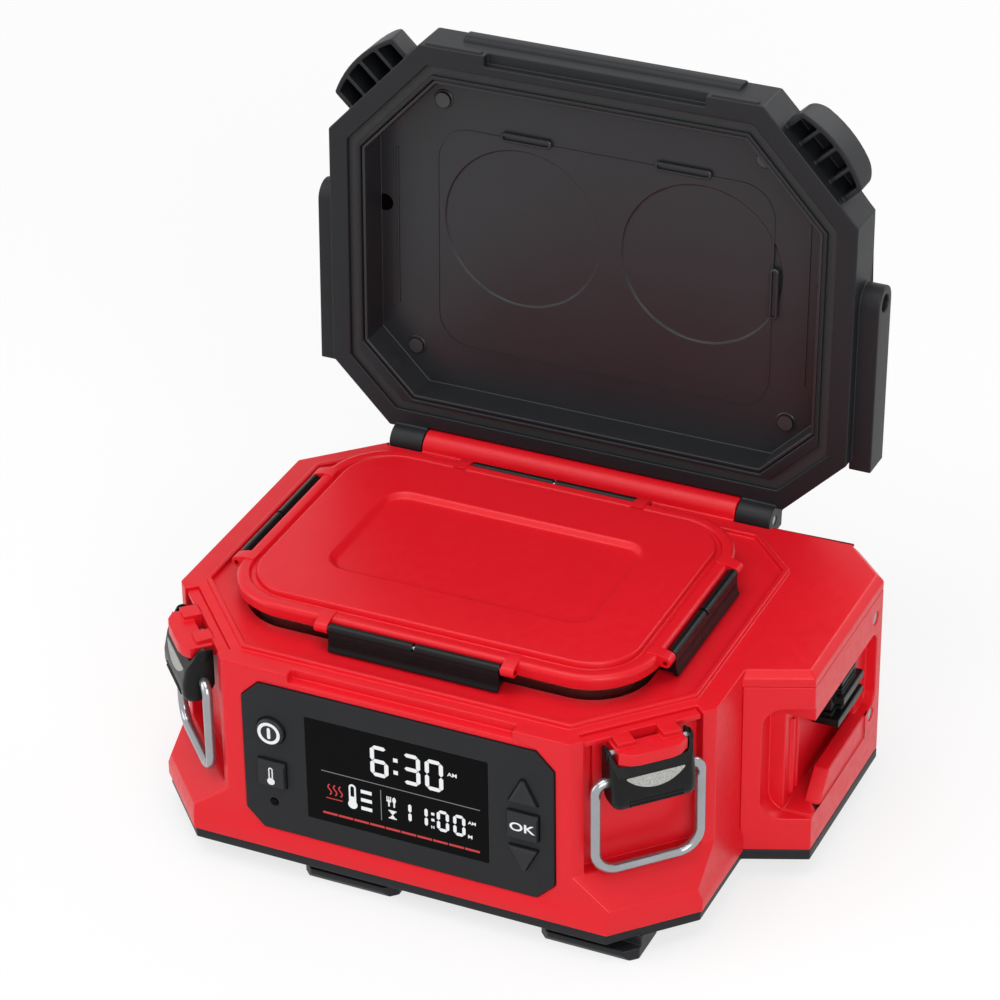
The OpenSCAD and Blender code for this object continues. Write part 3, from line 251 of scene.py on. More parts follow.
# Moulded black nylon of the clips and levers: nearly pure black with a slightly greasy shine
BLACK_NYLON = finish_of("black nylon", "0E0F10", "0B0C0D", rough=0.33, grain_mm=0.6, depth_mm=0.02,
                        IOR=1.53, Specular_IOR_Level=0.17)
# Rubber overmould with light grit in it: a rough grey of pale and dark specks
GREY_GRIP = finish_of("grey gritty overmould", "D9DAD5", "2C2D2A", rough=0.6, grain_mm=0.5, depth_mm=0.05,
                      blotch_mm=0.55, IOR=1.5)
# Satin-brushed stainless steel: fine level scratches that spread highlights sideways
SATIN_STEEL = finish_of("satin stainless steel", "C9C7C5", "BDBBB9", rough=0.3, grain_mm=0.5,
                        depth_mm=0.006, rough_swing=0.04, stretch=(0.06, 0.06, 1.0), Metallic=1.0)
# Zinc-plated spring wire: bright and a little cloudy
WIRE_STEEL = finish_of("zinc plated wire", "A4A6AA", "94969A", rough=0.2, grain_mm=0.8, depth_mm=0.008,
                       blotch_mm=9, Metallic=0.8)
# Zinc-plated machine screws and pins: a grey metal with blurred highlights
PIN_STEEL = finish_of("plated steel", "A9ABAE", "97999C", rough=0.32, grain_mm=0.7, depth_mm=0.01,
                      blotch_mm=6, Metallic=1.0)
# Black-oxide countersunk screws of the lid: a dull, dark grey that hardly stands out from the tray
BLACK_STEEL = finish_of("black oxide steel", "2A2A2C", "232325", rough=0.4, grain_mm=0.7, depth_mm=0.01,
                        blotch_mm=6, IOR=1.6)
# Enamel sprayed and baked on the heater plate: a warm orange with a faint painted glow, an emission that
# brightens the plate as if more light fell on it, though the plate gives no light
HEATER_ENAMEL_WITH_PAINTED_GLOW = finish_of("orange baked enamel with painted glow", "EFA21C", "E8940F", rough=0.42, grain_mm=1.2, depth_mm=0.01,
                          IOR=1.5, Emission_Color=linear("F09A10"), Emission_Strength=0.12)
# Rolled and folded aluminium sheet: a pale, soft-edged mirror
SHEET_ALUMINIUM = finish_of("mill aluminium sheet", "C8CACC", "BDBFC1", rough=0.34, grain_mm=0.6,
                            depth_mm=0.008, Metallic=1.0)
# Resistive ink printed on mica: a flat, grainy brown-grey
TRACK = finish_of("resistive track", "74706A", "66625C", rough=0.55, grain_mm=0.5, depth_mm=0.02, IOR=1.5)
# Pressed ceramic wool: off-white and quite dull, with a fluffy bump
WOOL = finish_of("ceramic wool felt", "E9E4D6", "DCD6C6", rough=0.9, grain_mm=0.9, depth_mm=0.25, IOR=1.45)
# Drawn brass of the blades and the sensor's cup: a bright yellow metal
BRASS = finish_of("drawn brass", "CFA95A", "BF984A", rough=0.28, grain_mm=0.6, depth_mm=0.01, blotch_mm=8,
                  Metallic=1.0)
# Glazed alumina body of the thermal fuse: cream-white with a clear gloss
CERAMIC = finish_of("glazed alumina", "DAD6CA", "D0CBBE", rough=0.3, grain_mm=0.8, depth_mm=0.01, IOR=1.6)
# Green solder mask over glass cloth: a semi-gloss green with faint cloudy patches
SOLDER_MASK = finish_of("green solder mask", "1F6E3F", "1A6237", rough=0.35, grain_mm=0.6, depth_mm=0.02,
                        blotch_mm=7, IOR=1.5)
# Extruded PVC of the ribbon cable: black with a dull shine
CABLE_PVC = finish_of("black PVC ribbon", "212226", "1B1C20", rough=0.42, grain_mm=0.5, depth_mm=0.02,
                      IOR=1.52)
# Extruded EPDM of the lid's seal: a soot black without shine
SEAL_RUBBER = finish_of("black EPDM seal", "18191B", "141517", rough=0.65, grain_mm=0.5, depth_mm=0.02,
                        IOR=1.5)
# Moulded silicone seal of the container: a milky grey-white
CLEAR_SILICONE = finish_of("milky silicone", "D0D3D5", "C6C9CB", rough=0.45, grain_mm=0.8, depth_mm=0.01,
                           IOR=1.41)
# Hard-coated display glass over a black mask: nearly black, with small sharp reflections
DISPLAY_GLASS = finish_of("hard coated black glass", "040405", "030304", rough=0.08, grain_mm=3.0,
                          depth_mm=0.001, rough_swing=0.015, IOR=1.5, Specular_IOR_Level=0.06)
# Display segments and rules, lit from behind: even colours that stay the same in light and in shade
LIT_WHITE = glow_of("lit white segments", "F4F6F8", strength=0.95)
LIT_RED = glow_of("lit red segments", "D02024", strength=0.85)
LIT_GREY = glow_of("lit grey rules", "8F9396", strength=0.7)
# White ink pad-printed on the keys: flat and crisp
INK_WHITE = finish_of("white pad print", "E4E5E6", "DDDEDF", rough=0.5, grain_mm=0.3, depth_mm=0.004,
                      IOR=1.5)

NODE_FINISH = {
    "base_plate": BLACK_ABS, "main_shell": RED_ABS, "well_liner": WELL_ABS, "battery_bay": RED_ABS,
    "base_screws": PIN_STEEL, "bay_screws": PIN_STEEL, "heater_plate": HEATER_ENAMEL_WITH_PAINTED_GLOW,
    "heating_element": TRACK, "insulation_pad": WOOL, "heat_shield": SHEET_ALUMINIUM, "temp_sensor": BRASS,
    "thermal_fuse": CERAMIC, "power_board": SOLDER_MASK, "wiring": CABLE_PVC, "panel_bezel": PANEL_ABS,
    "display_window": DISPLAY_GLASS, "display_module": TRAY_ABS, "control_board": SOLDER_MASK,
    "key_switches": TRAY_ABS, "power_button": KEY_RUBBER, "temp_button": KEY_RUBBER,
    "up_button": KEY_RUBBER, "ok_button": KEY_RUBBER, "down_button": KEY_RUBBER,
    "status_light": DISPLAY_GLASS, "terminal_block": BLACK_NYLON, "contact_blades": BRASS,
    "bracket_left": RED_ABS, "bracket_right": RED_ABS, "lever_left": BLACK_NYLON, "lever_right": BLACK_NYLON,
    "grip_left": GREY_GRIP, "grip_right": GREY_GRIP, "bail_left": WIRE_STEEL, "bail_right": WIRE_STEEL,
    "lever_pin_left": PIN_STEEL, "lever_pin_right": PIN_STEEL, "lid_shell": BLACK_ABS,
    "lid_liner": TRAY_ABS, "lid_seal": SEAL_RUBBER, "lid_insulation": WOOL, "lid_screws": BLACK_STEEL,
    "hinge_pin": PIN_STEEL, "tub": SATIN_STEEL, "tub_lid": RED_PP, "tub_seal": CLEAR_SILICONE,
    "flap_front": BLACK_NYLON, "flap_rear": BLACK_NYLON, "flap_left": BLACK_NYLON,
    "flap_right": BLACK_NYLON, "flap_pins": PIN_STEEL,
}
# edge rounding of the part's visible nodes, in millimetres
EDGE_ROUND = {
    "main_shell": 0.6, "battery_bay": 0.6, "base_plate": 0.6, "lid_shell": 0.6, "lid_liner": 0.4,
    "well_liner": 0.6, "panel_bezel": 0.4, "bracket_left": 0.4, "bracket_right": 0.4,
    "terminal_block": 0.35, "heater_plate": 0.4,
}
WELD_GAP = 0.002
NODE_EDGE_ANGLE = 28


def even_normals(piece):
    piece.modifiers.new("even normals", "WEIGHTED_NORMAL").keep_sharp = True


def soften(node, width):
    """Joins a CAD node's corners, rounds its edges and evens its shading."""
    piece = NODES[node]
    piece.data.shade_smooth()
    piece.modifiers.new("join corners", "WELD").merge_threshold = WELD_GAP * MM
    edge = piece.modifiers.new("round edges", "BEVEL")
    edge.width = width * MM
    edge.segments = 2
    edge.limit_method = "ANGLE"
    edge.angle_limit = math.radians(NODE_EDGE_ANGLE)
    edge.use_clamp_overlap = False
    edge.loop_slide = False
    edge.miter_outer = "MITER_ARC"
    even_normals(piece)


def dress_nodes():
    for node, material in NODE_FINISH.items():
        mesh = NODES[node].data
        mesh.materials.clear()
        mesh.materials.append(material)
    for node, width in EDGE_ROUND.items():
        soften(node, width)


# ---------------------------------------------------------------- mesh helpers, drawn in millimetres
MERGE_GAP = 0.0002
CUT_GAP = 0.0001
# faces that bend by less than this are shaded as one, and edges that bend by more are rounded, in degrees
SMOOTH_BELOW = 32
ROUND_ABOVE = 30


def gather(parts):
    """Several drawings as one."""
    whole = bmesh.new()
    for part in parts:
        mesh = bpy.data.meshes.new("part")
        part.to_mesh(mesh)
        part.free()
        whole.from_mesh(mesh)
        bpy.data.meshes.remove(mesh)
    return whole


def moved(bm, place):
    bmesh.ops.transform(bm, matrix=place, verts=bm.verts)
    return bm


def shifted(bm, x, y, z):
    return moved(bm, Matrix.Translation((x, y, z)))


def finish_piece(name, bm, material, body, place, smooth_below=SMOOTH_BELOW):
    """Puts a drawing in its place, turns its faces outwards and hangs it on its body."""
    bmesh.ops.remove_doubles(bm, verts=bm.verts, dist=MERGE_GAP)
    moved(bm, place)
    bmesh.ops.recalc_face_normals(bm, faces=bm.faces)
    bmesh.ops.scale(bm, vec=(MM, MM, MM), verts=bm.verts)
    mesh = bpy.data.meshes.new(name)
    bm.to_mesh(mesh)
    bm.free()
    mesh.shade_smooth()
    mesh.set_sharp_from_angle(angle=math.radians(smooth_below))
    mesh.materials.append(material)
    piece = in_scene(bpy.data.objects.new(name, mesh))
    even_normals(piece)
    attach(piece, body)
    return piece


def arc(centre, radius, start, end, steps):
    """Points along an arc, with angles in degrees."""
    turns = [math.radians(start + (end - start) * i / steps) for i in range(steps + 1)]
    return [(centre[0] + radius * math.cos(t), centre[1] + radius * math.sin(t)) for t in turns]


def ring_of(centre, radius, points):
    """Evenly spaced points on a whole circle."""
    return arc(centre, radius, 0, 360 - 360 / points, points - 1)


def corners(x0, x1, y0, y1):
    return [(x0, y0), (x1, y0), (x1, y1), (x0, y1)]


def new_verts(made):
    """The vertices that an operator made."""
    return [item for item in made["geom"] if isinstance(item, bmesh.types.BMVert)]


def round_off(bm, width, angle=ROUND_ABOVE):
    """Rounds the edges that bend by more than the angle."""
    bent = [edge for edge in bm.edges if edge.is_manifold and edge.calc_face_angle() > math.radians(angle)]
    bmesh.ops.bevel(bm, geom=bent, offset=width, affect="EDGES", segments=2, profile=0.5, material=-1,
                    clamp_overlap=True)
    return bm


def prism(points, low, high, rounding=0.0):
    """An outline in the XY plane, drawn up from low to high."""
    bm = bmesh.new()
    face = bm.faces.new([bm.verts.new((x, y, low)) for x, y in points])
    made = bmesh.ops.extrude_face_region(bm, geom=[face])
    bmesh.ops.translate(bm, verts=new_verts(made), vec=(0, 0, high - low))
    bmesh.ops.recalc_face_normals(bm, faces=bm.faces)
    if rounding:
        round_off(bm, rounding)
    return bm


def bar(section, x0, x1, rounding=0.0):
    """A section of (y, z) points, drawn along X."""
    bm = prism(section, x0, x1, rounding)
    # the outline's X and Y become Y and Z, and its height becomes X
    return moved(bm, Matrix(((0, 0, 1, 0), (1, 0, 0, 0), (0, 1, 0, 0), (0, 0, 0, 1))))


def block(x, y, z, rounding=0.0):
    return prism(corners(*x, *y), *z, rounding)


def lay_ring(verts, before, ring):
    """Moves a ring of corner-rounded points from one size to the next."""
    width, depth, radius = before[:3]
    new_width, new_depth, new_radius, height = ring
    for vert in verts:
        side_x, side_y = math.copysign(1, vert.co.x), math.copysign(1, vert.co.y)
        out_x = (vert.co.x - side_x * (width / 2 - radius)) / radius
        out_y = (vert.co.y - side_y * (depth / 2 - radius)) / radius
        vert.co = (side_x * (new_width / 2 - new_radius) + out_x * new_radius,
                   side_y * (new_depth / 2 - new_radius) + out_y * new_radius, height)


def rounded_stack(rings, segments, hollow=False):
    """Rounded rectangles (width, depth, radius, height) joined one after another into a closed form."""
    bm = bmesh.new()
    width, depth, radius, height = rings[0]
    grid = bmesh.ops.create_grid(bm, x_segments=1, y_segments=1, size=0.5)
    bmesh.ops.scale(bm, vec=(width, depth, 1), verts=grid["verts"])
    bmesh.ops.bevel(bm, geom=grid["verts"], offset=radius, affect="VERTICES", segments=segments,
                    profile=0.5, material=-1)
    bmesh.ops.translate(bm, verts=bm.verts, vec=(0, 0, height))
    first = edges = list(bm.edges)
    if hollow:
        bmesh.ops.delete(bm, geom=list(bm.faces), context="FACES_ONLY")
    for before, ring in zip(rings, rings[1:]):
        made = bmesh.ops.extrude_edge_only(bm, edges=edges)
        verts = new_verts(made)
        fresh = set(verts)
        edges = [edge for edge in bm.edges if edge.verts[0] in fresh and edge.verts[1] in fresh]
        lay_ring(verts, before, ring)
    if hollow:
        bmesh.ops.bridge_loops(bm, edges=first + edges)
    else:
        bmesh.ops.holes_fill(bm, edges=edges)
    return bm


def turned(profile, steps=32):
    """A profile of (radius, height) points spun once round Z."""
    bm = bmesh.new()
    verts = [bm.verts.new((r, 0, h)) for r, h in profile]
    edges = [bm.edges.new(pair) for pair in zip(verts, verts[1:] + verts[:1])]
    bmesh.ops.spin(bm, geom=verts + edges, cent=(0, 0, 0), axis=(0, 0, 1), angle=math.tau, steps=steps,
                   use_merge=True)
    return bm


# ---------------------------------------------------------------- flat marks, drawn as seen from the front
INK = 0.06
SEGMENT_GAP = 0.16
LETTER_WEIGHT = 0.018
SEGMENTS = {"0": "abcdef", "1": "bc", "3": "abcdg", "6": "acdefg"}


def on_panel(face):
    """From a drawing seen from the front to its place on the control panel."""
    return Matrix.Translation((PANEL_X, face, PANEL_Z)) @ rotated(90, "X")


def flat(points):
    return prism(points, 0, INK)


def flat_box(x0, x1, z0, z1):
    return flat(corners(x0, x1, z0, z1))


def flat_boxes(x, heights, width, height):
    """Boxes one over another, centred on x and on each height."""
    return [flat_box(x - width / 2, x + width / 2, z - height / 2, z + height / 2) for z in heights]


def bead(start, end, thick):
    """One segment of a digit, pointed at both ends."""
    start, end = Vector(start), Vector(end)
    along = (end - start).normalized()
    side = Vector((-along.y, along.x)) * thick / 2
    start, end = start + along * SEGMENT_GAP, end - along * SEGMENT_GAP
    half = along * thick / 2
    outline = (start, start + half - side, end - half - side, end, end - half + side, start + half + side)
    return flat([tuple(corner) for corner in outline])


def digit(sign, x, top, width, height, thick):
    left, right = x + thick / 2, x + width - thick / 2
    high, low, middle = top - thick / 2, top - height + thick / 2, top - height / 2
    ends = {"a": ((left, high), (right, high)), "b": ((right, middle), (right, high)),
            "c": ((right, low), (right, middle)), "d": ((left, low), (right, low)),
            "e": ((left, low), (left, middle)), "f": ((left, middle), (left, high)),
            "g": ((left, middle), (right, middle))}
    return [bead(*ends[name], thick) for name in SEGMENTS[sign]]


def digits(row, **size):
    """Digits of one size, each with its left edge."""
    return [segment for sign, x in row for segment in digit(sign, x, **size)]


def stroke(points, width):
    """A line of even width through the points."""
    left, right = [], []
    for index, point in enumerate(points):
        before = Vector(points[max(index - 1, 0)])
        after = Vector(points[min(index + 1, len(points) - 1)])
        along = (after - before).normalized()
        side = Vector((-along.y, along.x)) * width / 2
        left.append(tuple(Vector(point) + side))
        right.append(tuple(Vector(point) - side))
    return flat(right + left[::-1])


def letters(words, x, z, size, stretch):
    """Plain letters centred on a point."""
    curve = bpy.data.curves.new("letters", "FONT")
    curve.body = words
    curve.size = size
    curve.extrude = INK / 2
    curve.offset = size * LETTER_WEIGHT
    curve.align_x = "CENTER"
    curve.align_y = "CENTER"
    curve.resolution_u = 4
    text = in_scene(bpy.data.objects.new("letters", curve))
    bpy.context.view_layer.update()
    mesh = bpy.data.meshes.new_from_object(text.evaluated_get(bpy.context.evaluated_depsgraph_get()))
    bpy.data.objects.remove(text)
    bpy.data.curves.remove(curve)
    bm = bmesh.new()
    bm.from_mesh(mesh)
    bpy.data.meshes.remove(mesh)
    return moved(bm, Matrix.Translation((x, z, INK / 2)) @ Matrix.Diagonal((stretch, 1, 1, 1)))


# ---------------------------------------------------------------- display read-out
CLOCK_DIGIT = {"top": 19.6, "width": 8.2, "height": 15.2, "thick": 1.85}
TIMER_DIGIT = {"top": -4.6, "width": 5.5, "height": 10.4, "thick": 1.45}
RULE_T = 0.32
THERMOMETER_X = -20.4


def clock():
    marks = digits((("6", -11.6), ("3", 2.9), ("0", 13.2)), **CLOCK_DIGIT)
    marks += flat_boxes(-0.1, (14.7, 8.6), 2.0, 1.9)
    return marks + [letters("AM", 25.5, 14.4, 2.5, 1.2)]


def timer():
    marks = digits((("1", 1.1), ("1", 8.5), ("0", 18.1), ("0", 25.5)), **TIMER_DIGIT)
    marks += flat_boxes(16.3, (-7.4, -10.4), 1.4, 1.3)
    marks += [letters("H", 16.2, -14.1, 2.0, 1.1), letters("M", 33.1, -14.2, 2.4, 1.2)]
    return marks + [letters("AM", 34.0, -7.2, 2.1, 1.2)]


def thermometer():
    """A bulb with a round-topped stem."""
    bulb_z, bulb_r, top_z, half = -13.0, 2.15, -2.9, 1.65
    neck = math.degrees(math.asin(half / bulb_r))
    bulb = arc((THERMOMETER_X, bulb_z), bulb_r, 90 + neck, 450 - neck, 20)
    return flat(bulb + arc((THERMOMETER_X, top_z - half), half, 0, 180, 8))


def thermometer_slot():
    """The dark slot in the stem, which stands a little in front of it."""
    top_z, foot_z, half = -4.7, -9.0, 0.85
    foot = [(THERMOMETER_X - half, foot_z), (THERMOMETER_X + half, foot_z)]
    return shifted(flat(arc((THERMOMETER_X, top_z), half, 0, 180, 8) + foot), 0, 0, INK / 2)


def heat_waves():
    """Three wavy lines that rise from a plate."""
    foot, rise, sway, width, steps = -10.9, 5.2, 0.75, 0.62, 10
    waves = []
    for x in (-30.9, -28.4, -25.9):
        line = [(x + sway * math.sin(i * math.tau / steps), foot + rise * i / steps)
                for i in range(steps + 1)]
        waves.append(stroke(line, width))
    return waves + [flat_box(-32.6, -25.0, -13.0, -12.55)]


def fork_and_spoon():
    fork = [flat_box(-4.0, -3.3, -9.2, -5.9), flat_box(-4.7, -2.6, -6.9, -6.2)]
    tines = [flat_box(x, x + 0.45, -6.4, -4.3) for x in (-4.7, -3.87, -3.05)]
    spoon = [flat_box(-1.6, -0.9, -9.2, -6.0)]
    bowl_x, bowl_z, bowl_half_w, bowl_half_h = -1.25, -5.7, 0.8, 1.45
    bowl = [(bowl_x + bowl_half_w * x, bowl_z + bowl_half_h * z) for x, z in ring_of((0, 0), 1, 24)]
    return fork + tines + spoon + [flat(bowl)]


def hourglass():
    ends = [flat_box(-3.9, -0.3, low, low + 0.55) for low in (-11.5, -15.2)]
    sand_above = flat([(-3.5, -11.6), (-2.1, -13.2), (-0.7, -11.6)])
    sand_below = flat([(-3.3, -14.6), (-0.9, -14.6), (-2.1, -13.0)])
    return ends + [sand_above, sand_below]


def level_row():
    """Ten dashes along the foot of the display."""
    start, pitch, gap, low, high = -34.4, 7.22, 0.5, -21.1, -20.05
    return [flat_box(start + i * pitch, start + (i + 1) * pitch - gap, low, high) for i in range(10)]


def rules():
    """A level rule across the display and an upright one below it."""
    level, upright = 0.45, -7.3
    return [flat_box(-34.5, 37.7, level - RULE_T / 2, level + RULE_T / 2),
            flat_box(upright - RULE_T / 2, upright + RULE_T / 2, -17.2, -2.0)]


def put_on_display(name, parts, material):
    piece = finish_piece(name, gather(parts), material, "housing", on_panel(GLASS_FACE))


def display_marks():
    """A generic clock, heat level and timer read-out."""
    heat_bars = flat_boxes(-14.0, (-5.2, -9.4, -13.6), 5.0, 1.7)
    white = clock() + timer() + [thermometer()] + heat_bars + fork_and_spoon() + hourglass()
    put_on_display("display_white_marks", white, LIT_WHITE)
    put_on_display("display_red_marks", heat_waves() + level_row(), LIT_RED)
    put_on_display("display_rules", rules(), LIT_GREY)
    put_on_display("display_dark_slot", [thermometer_slot()], DISPLAY_GLASS)


# ---------------------------------------------------------------- keys and their marks
KEY_LIFT, KEY_SINK = 0.8, 0.3
KEY_EDGE, KEY_EDGE_ANGLE = 0.1, 12
# centres of the keys beside the display
LEFT_KEYS_X, RIGHT_KEYS_X = -57.2, 57.2
POWER_Z, HEAT_Z = 14.0, -7.0
UP_Z, OK_Z, DOWN_Z = 15.5, -1.0, -17.5
POWER_R = 6.35
KEY_HALF_H, HEAT_HALF_W, OK_HALF_W = 6.3, 6.3, 6.8


def key_cap(name, foot, top, body, x, z):
    """The raised face of a key, drawn in from its foot to its top."""
    bm = prism(foot, -KEY_SINK, KEY_LIFT)
    for vert in bm.verts:
        if vert.co.z > 0:
            nearest = min(range(len(foot)), key=lambda i: (vert.co.xy - Vector(foot[i])).length)
            vert.co.x, vert.co.y = top[nearest]
    piece = finish_piece(name, round_off(bm, KEY_EDGE, KEY_EDGE_ANGLE), KEY_RUBBER, body,
                         on_panel(KEY_FACE) @ Matrix.Translation((x, z, 0)), smooth_below=50)


def round_key(radius):
    """Foot and top outlines of a round key, whose top is smaller and sits low."""
    share, drop = 0.86, 0.3
    foot = ring_of((0, 0), radius, 48)
    return foot, [(share * x, share * z - drop) for x, z in foot]


def square_key(half_w):
    """Foot and top outlines of a square key, which slopes most along its upper edge."""
    slope, top_slope = 0.4, 1.8
    foot = corners(-half_w, half_w, -KEY_HALF_H, KEY_HALF_H)
    return foot, corners(-half_w + slope, half_w - slope, -KEY_HALF_H + slope, KEY_HALF_H - top_slope)


def arrow_key(flip):
    """Foot and top outlines of a blunt arrow, which points up for 1 and down for -1."""
    foot = [(-6.4, -5.6), (6.4, -5.6), (0.8, 5.6), (-0.8, 5.6)]
    top = [(-4.6, -4.5), (4.6, -4.5), (0.4, 3.4), (-0.4, 3.4)]
    return [(x, z * flip) for x, z in foot], [(x, z * flip) for x, z in top]


def key_caps():
    """Keys slope away at the top, where they catch the light."""
    key_cap("power_cap", *round_key(POWER_R), "power_key", LEFT_KEYS_X, POWER_Z)
    key_cap("heat_cap", *square_key(HEAT_HALF_W), "temp_key", LEFT_KEYS_X, HEAT_Z)
    key_cap("ok_cap", *square_key(OK_HALF_W), "ok_key", RIGHT_KEYS_X, OK_Z)
    key_cap("up_cap", *arrow_key(1), "up_key", RIGHT_KEYS_X, UP_Z)
    key_cap("down_cap", *arrow_key(-1), "down_key", RIGHT_KEYS_X, DOWN_Z)


def key_mark(name, parts, body, x, z):
    piece = finish_piece(name, gather(parts), INK_WHITE, body,
                         on_panel(KEY_FACE - KEY_LIFT) @ Matrix.Translation((x, z, 0)))


def power_sign():
    """A ring round an upright dash."""
    ring_in, ring_out, dash_top, dash_half = 3.75, 5.2, 2.0, 0.75
    ring = turned([(ring_in, 0), (ring_out, 0), (ring_out, INK), (ring_in, INK)], 48)
    dash = arc((0, dash_top), dash_half, 0, 180, 6) + arc((0, -dash_top), dash_half, 180, 360, 6)
    return [ring, flat(dash)]


def heat_sign():
    """A small thermometer: a bulb under an open stem."""
    stem_foot, stem_top, stem_half, line = -1.6, 3.0, 0.75, 0.55
    stem = [(-stem_half, stem_foot)] + arc((0, stem_top), stem_half, 180, 0, 8) + [(stem_half, stem_foot)]
    return [stroke(stem, line), flat(ring_of((0, -2.9), 1.75, 24))]


def key_marks():
    """Signs sit a little below the keys' centres, as the keys' tops do."""
    key_mark("power_mark", power_sign(), "power_key", LEFT_KEYS_X, POWER_Z - 0.2)
    key_mark("heat_mark", heat_sign(), "temp_key", LEFT_KEYS_X, HEAT_Z - 0.4)
    key_mark("ok_mark", [letters("OK", 0, 0, 5.6, 1.35)], "ok_key", RIGHT_KEYS_X, OK_Z - 0.5)


# ---------------------------------------------------------------- food container
# for each side, its turn from the front in degrees, the flap's length and how far out the lid's edge is
FLAP_SIDES = {
    "front": (0, 77.0, 68.3), "right": (90, 68.0, 95.3),
    "rear": (180, 77.0, 68.3), "left": (270, 68.0, 95.3),
}


def on_side(side):
    """From a drawing round a flap's pin to its place on that side of the container's lid."""
    turn, _, out = FLAP_SIDES[side]
    return rotated(turn, "Z") @ Matrix.Translation((0, -out - PIVOT_OUT, PIVOT_Z))


def facing_out(points):
    """Points of (outward, up) as a section of (y, z) whose outside is at -Y."""
    return [(-u, v) for u, v in points]


def tub_ring(out, height, radius):
    return (TUB_SIZE[0] + 2 * out, TUB_SIZE[1] + 2 * out, radius, height)


def tub_foot(radius, start, end, corner_start, corner_end):
    """Rings round the container's foot, whose corners grow or shrink on the way."""
    foot_out, foot_z, steps = -20.0, TUB_Z + 8.0, 6
    grow = (corner_end - corner_start) / steps
    return [tub_ring(u, foot_z + v, corner_start + grow * i)
            for i, (u, v) in enumerate(arc((foot_out, 0), radius, start, end, steps))]


def make_tub():
    """Deep-drawn steel pan: rounded foot, tapered walls and a rolled rim."""
    roll_out, roll_r, roll_corner = 2.3, 1.7, 24
    outer = tub_foot(8.0, -90, 0, 10, 18) + [tub_ring(-6.2, 78.0, 21.0), tub_ring(-0.4, 106.8, 23.6)]
    rim = [tub_ring(u, v, roll_corner + u)
           for u, v in arc((roll_out, RIM_Z - roll_r), roll_r, -110, 160, 9)]
    inner = [tub_ring(-1.1, 107.0, 23.0), tub_ring(-7.2, 78.0, 20.2)] + tub_foot(7.0, 0, -90, 17.2, 10)
    pan = rounded_stack(outer + rim + inner, 12)
    piece = finish_piece("steel_container", pan, SATIN_STEEL, "container", Matrix.Translation(WELL),
                         smooth_below=50)
    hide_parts("tub")


def cap_ring(inset, height, radius=None):
    return (CAP_SIZE[0] - 2 * inset, CAP_SIZE[1] - 2 * inset, radius or CAP_RADIUS - inset, height)


def lug(x0, x1):
    """A hinge ear that runs in to the lid's edge."""
    section = facing_out(arc((0, 0), 2.4, -110, 70, 9)) + [(3.0, 3.4), (8.4, 3.4), (8.4, -1.4)]
    return bar(section, x0, x1, 0.35)


def lugs(side):
    """An ear beyond each end of a flap."""
    gap, ear = 0.6, 6.0
    near = FLAP_SIDES[side][1] / 2 + gap
    return [moved(lug(x, x + ear), on_side(side)) for x in (-near - ear, near)]


def make_cap():
    """Moulded container lid: rolled edge, moat, raised field and a sunk middle panel."""
    edge_r = 2.3
    edge = [cap_ring(2.0, 112.4), cap_ring(2.0, 110.4), cap_ring(0.5, 110.4), cap_ring(0.0, 110.9)]
    edge += [cap_ring(edge_r - u, v) for u, v in arc((0, CAP_TOP - edge_r), edge_r, 0, 90, 5)]
    edge.append(cap_ring(5.0, CAP_TOP))
    moat = [cap_ring(5.6, 116.0), cap_ring(6.0, 115.0), cap_ring(6.3, 114.8), cap_ring(7.7, 114.8),
            cap_ring(8.1, 115.1)]
    field = [cap_ring(8.5, 117.0), cap_ring(8.9, 117.55), cap_ring(9.6, 117.8), cap_ring(33.6, 117.8, 11.0)]
    middle = [cap_ring(34.5, 117.6, 10.4), cap_ring(35.1, 117.0, 10.0), cap_ring(36.1, 115.8, 9.0),
              cap_ring(36.6, 115.45, 8.6), cap_ring(37.4, 115.3, 8.0)]
    parts = [rounded_stack(edge + moat + field + middle, 12)]
    for side in FLAP_SIDES:
        parts += lugs(side)
    piece = finish_piece("container_lid", gather(parts), RED_PP, "container_lid", Matrix.Translation(WELL),
                         smooth_below=40)
    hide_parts("tub_lid")


def flap_face(half):
    """Two barrels on the pin, the flared face below them and two level beads across it."""
    barrel = facing_out(ring_of((0, 0), 2.2, 24))
    face = facing_out(((1.6, -9.6), (3.2, -9.6), (3.4, -9.2), (2.9, -8.0), (2.35, -6.4), (2.15, -3.0),
                     (2.1, -0.3), (0.4, -0.6), (0.3, -7.5)))
    gap, bead_end = 0.7, half - 2
    parts = [bar(barrel, -half, -gap), bar(barrel, gap, half), bar(face, -half, half, 0.3)]
    return parts + [block((-bead_end, bead_end), (-2.45, -2.0), (z, z + 0.5), 0.12) for z in (-5.4, -4.0)]


def flap_hook(middle):
    """A hook that reaches under the rim, with three ribs across its foot."""
    half, pitch, rib_half = 8, 5.5, 0.9
    hook = [(-0.8, -8.2), (4.6, -8.2), (5.9, -7.2), (5.9, -6.4), (5.2, -6.15), (-0.8, -6.15)]
    rib = [(-0.5, -9.4), (1.2, -9.4), (3.6, -8.4), (3.6, -8.0), (-0.5, -8.0)]
    parts = [bar(hook, middle - half, middle + half, 0.25)]
    for x in (middle - pitch, middle, middle + pitch):
        parts.append(bar(rib, x - rib_half, x + rib_half, 0.15))
    return parts


def make_flap(side):
    """Clip flap: barrels, face and hooks, drawn round its pin."""
    half = FLAP_SIDES[side][1] / 2
    hook_x = half - 8
    parts = flap_face(half) + flap_hook(-hook_x) + flap_hook(hook_x)
    piece = finish_piece(side + "_clip_flap", gather(parts), BLACK_NYLON, side + "_flap",
                         Matrix.Translation(WELL) @ on_side(side))
    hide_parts("flap_" + side)


# ---------------------------------------------------------------- latches
CORNER_TURN = math.degrees(math.atan2(CORNER_Y, CORNER_X))
# the scoop's face leans back by this much in this height
FACE_BACK, FACE_HEIGHT = 1.5, 7.2


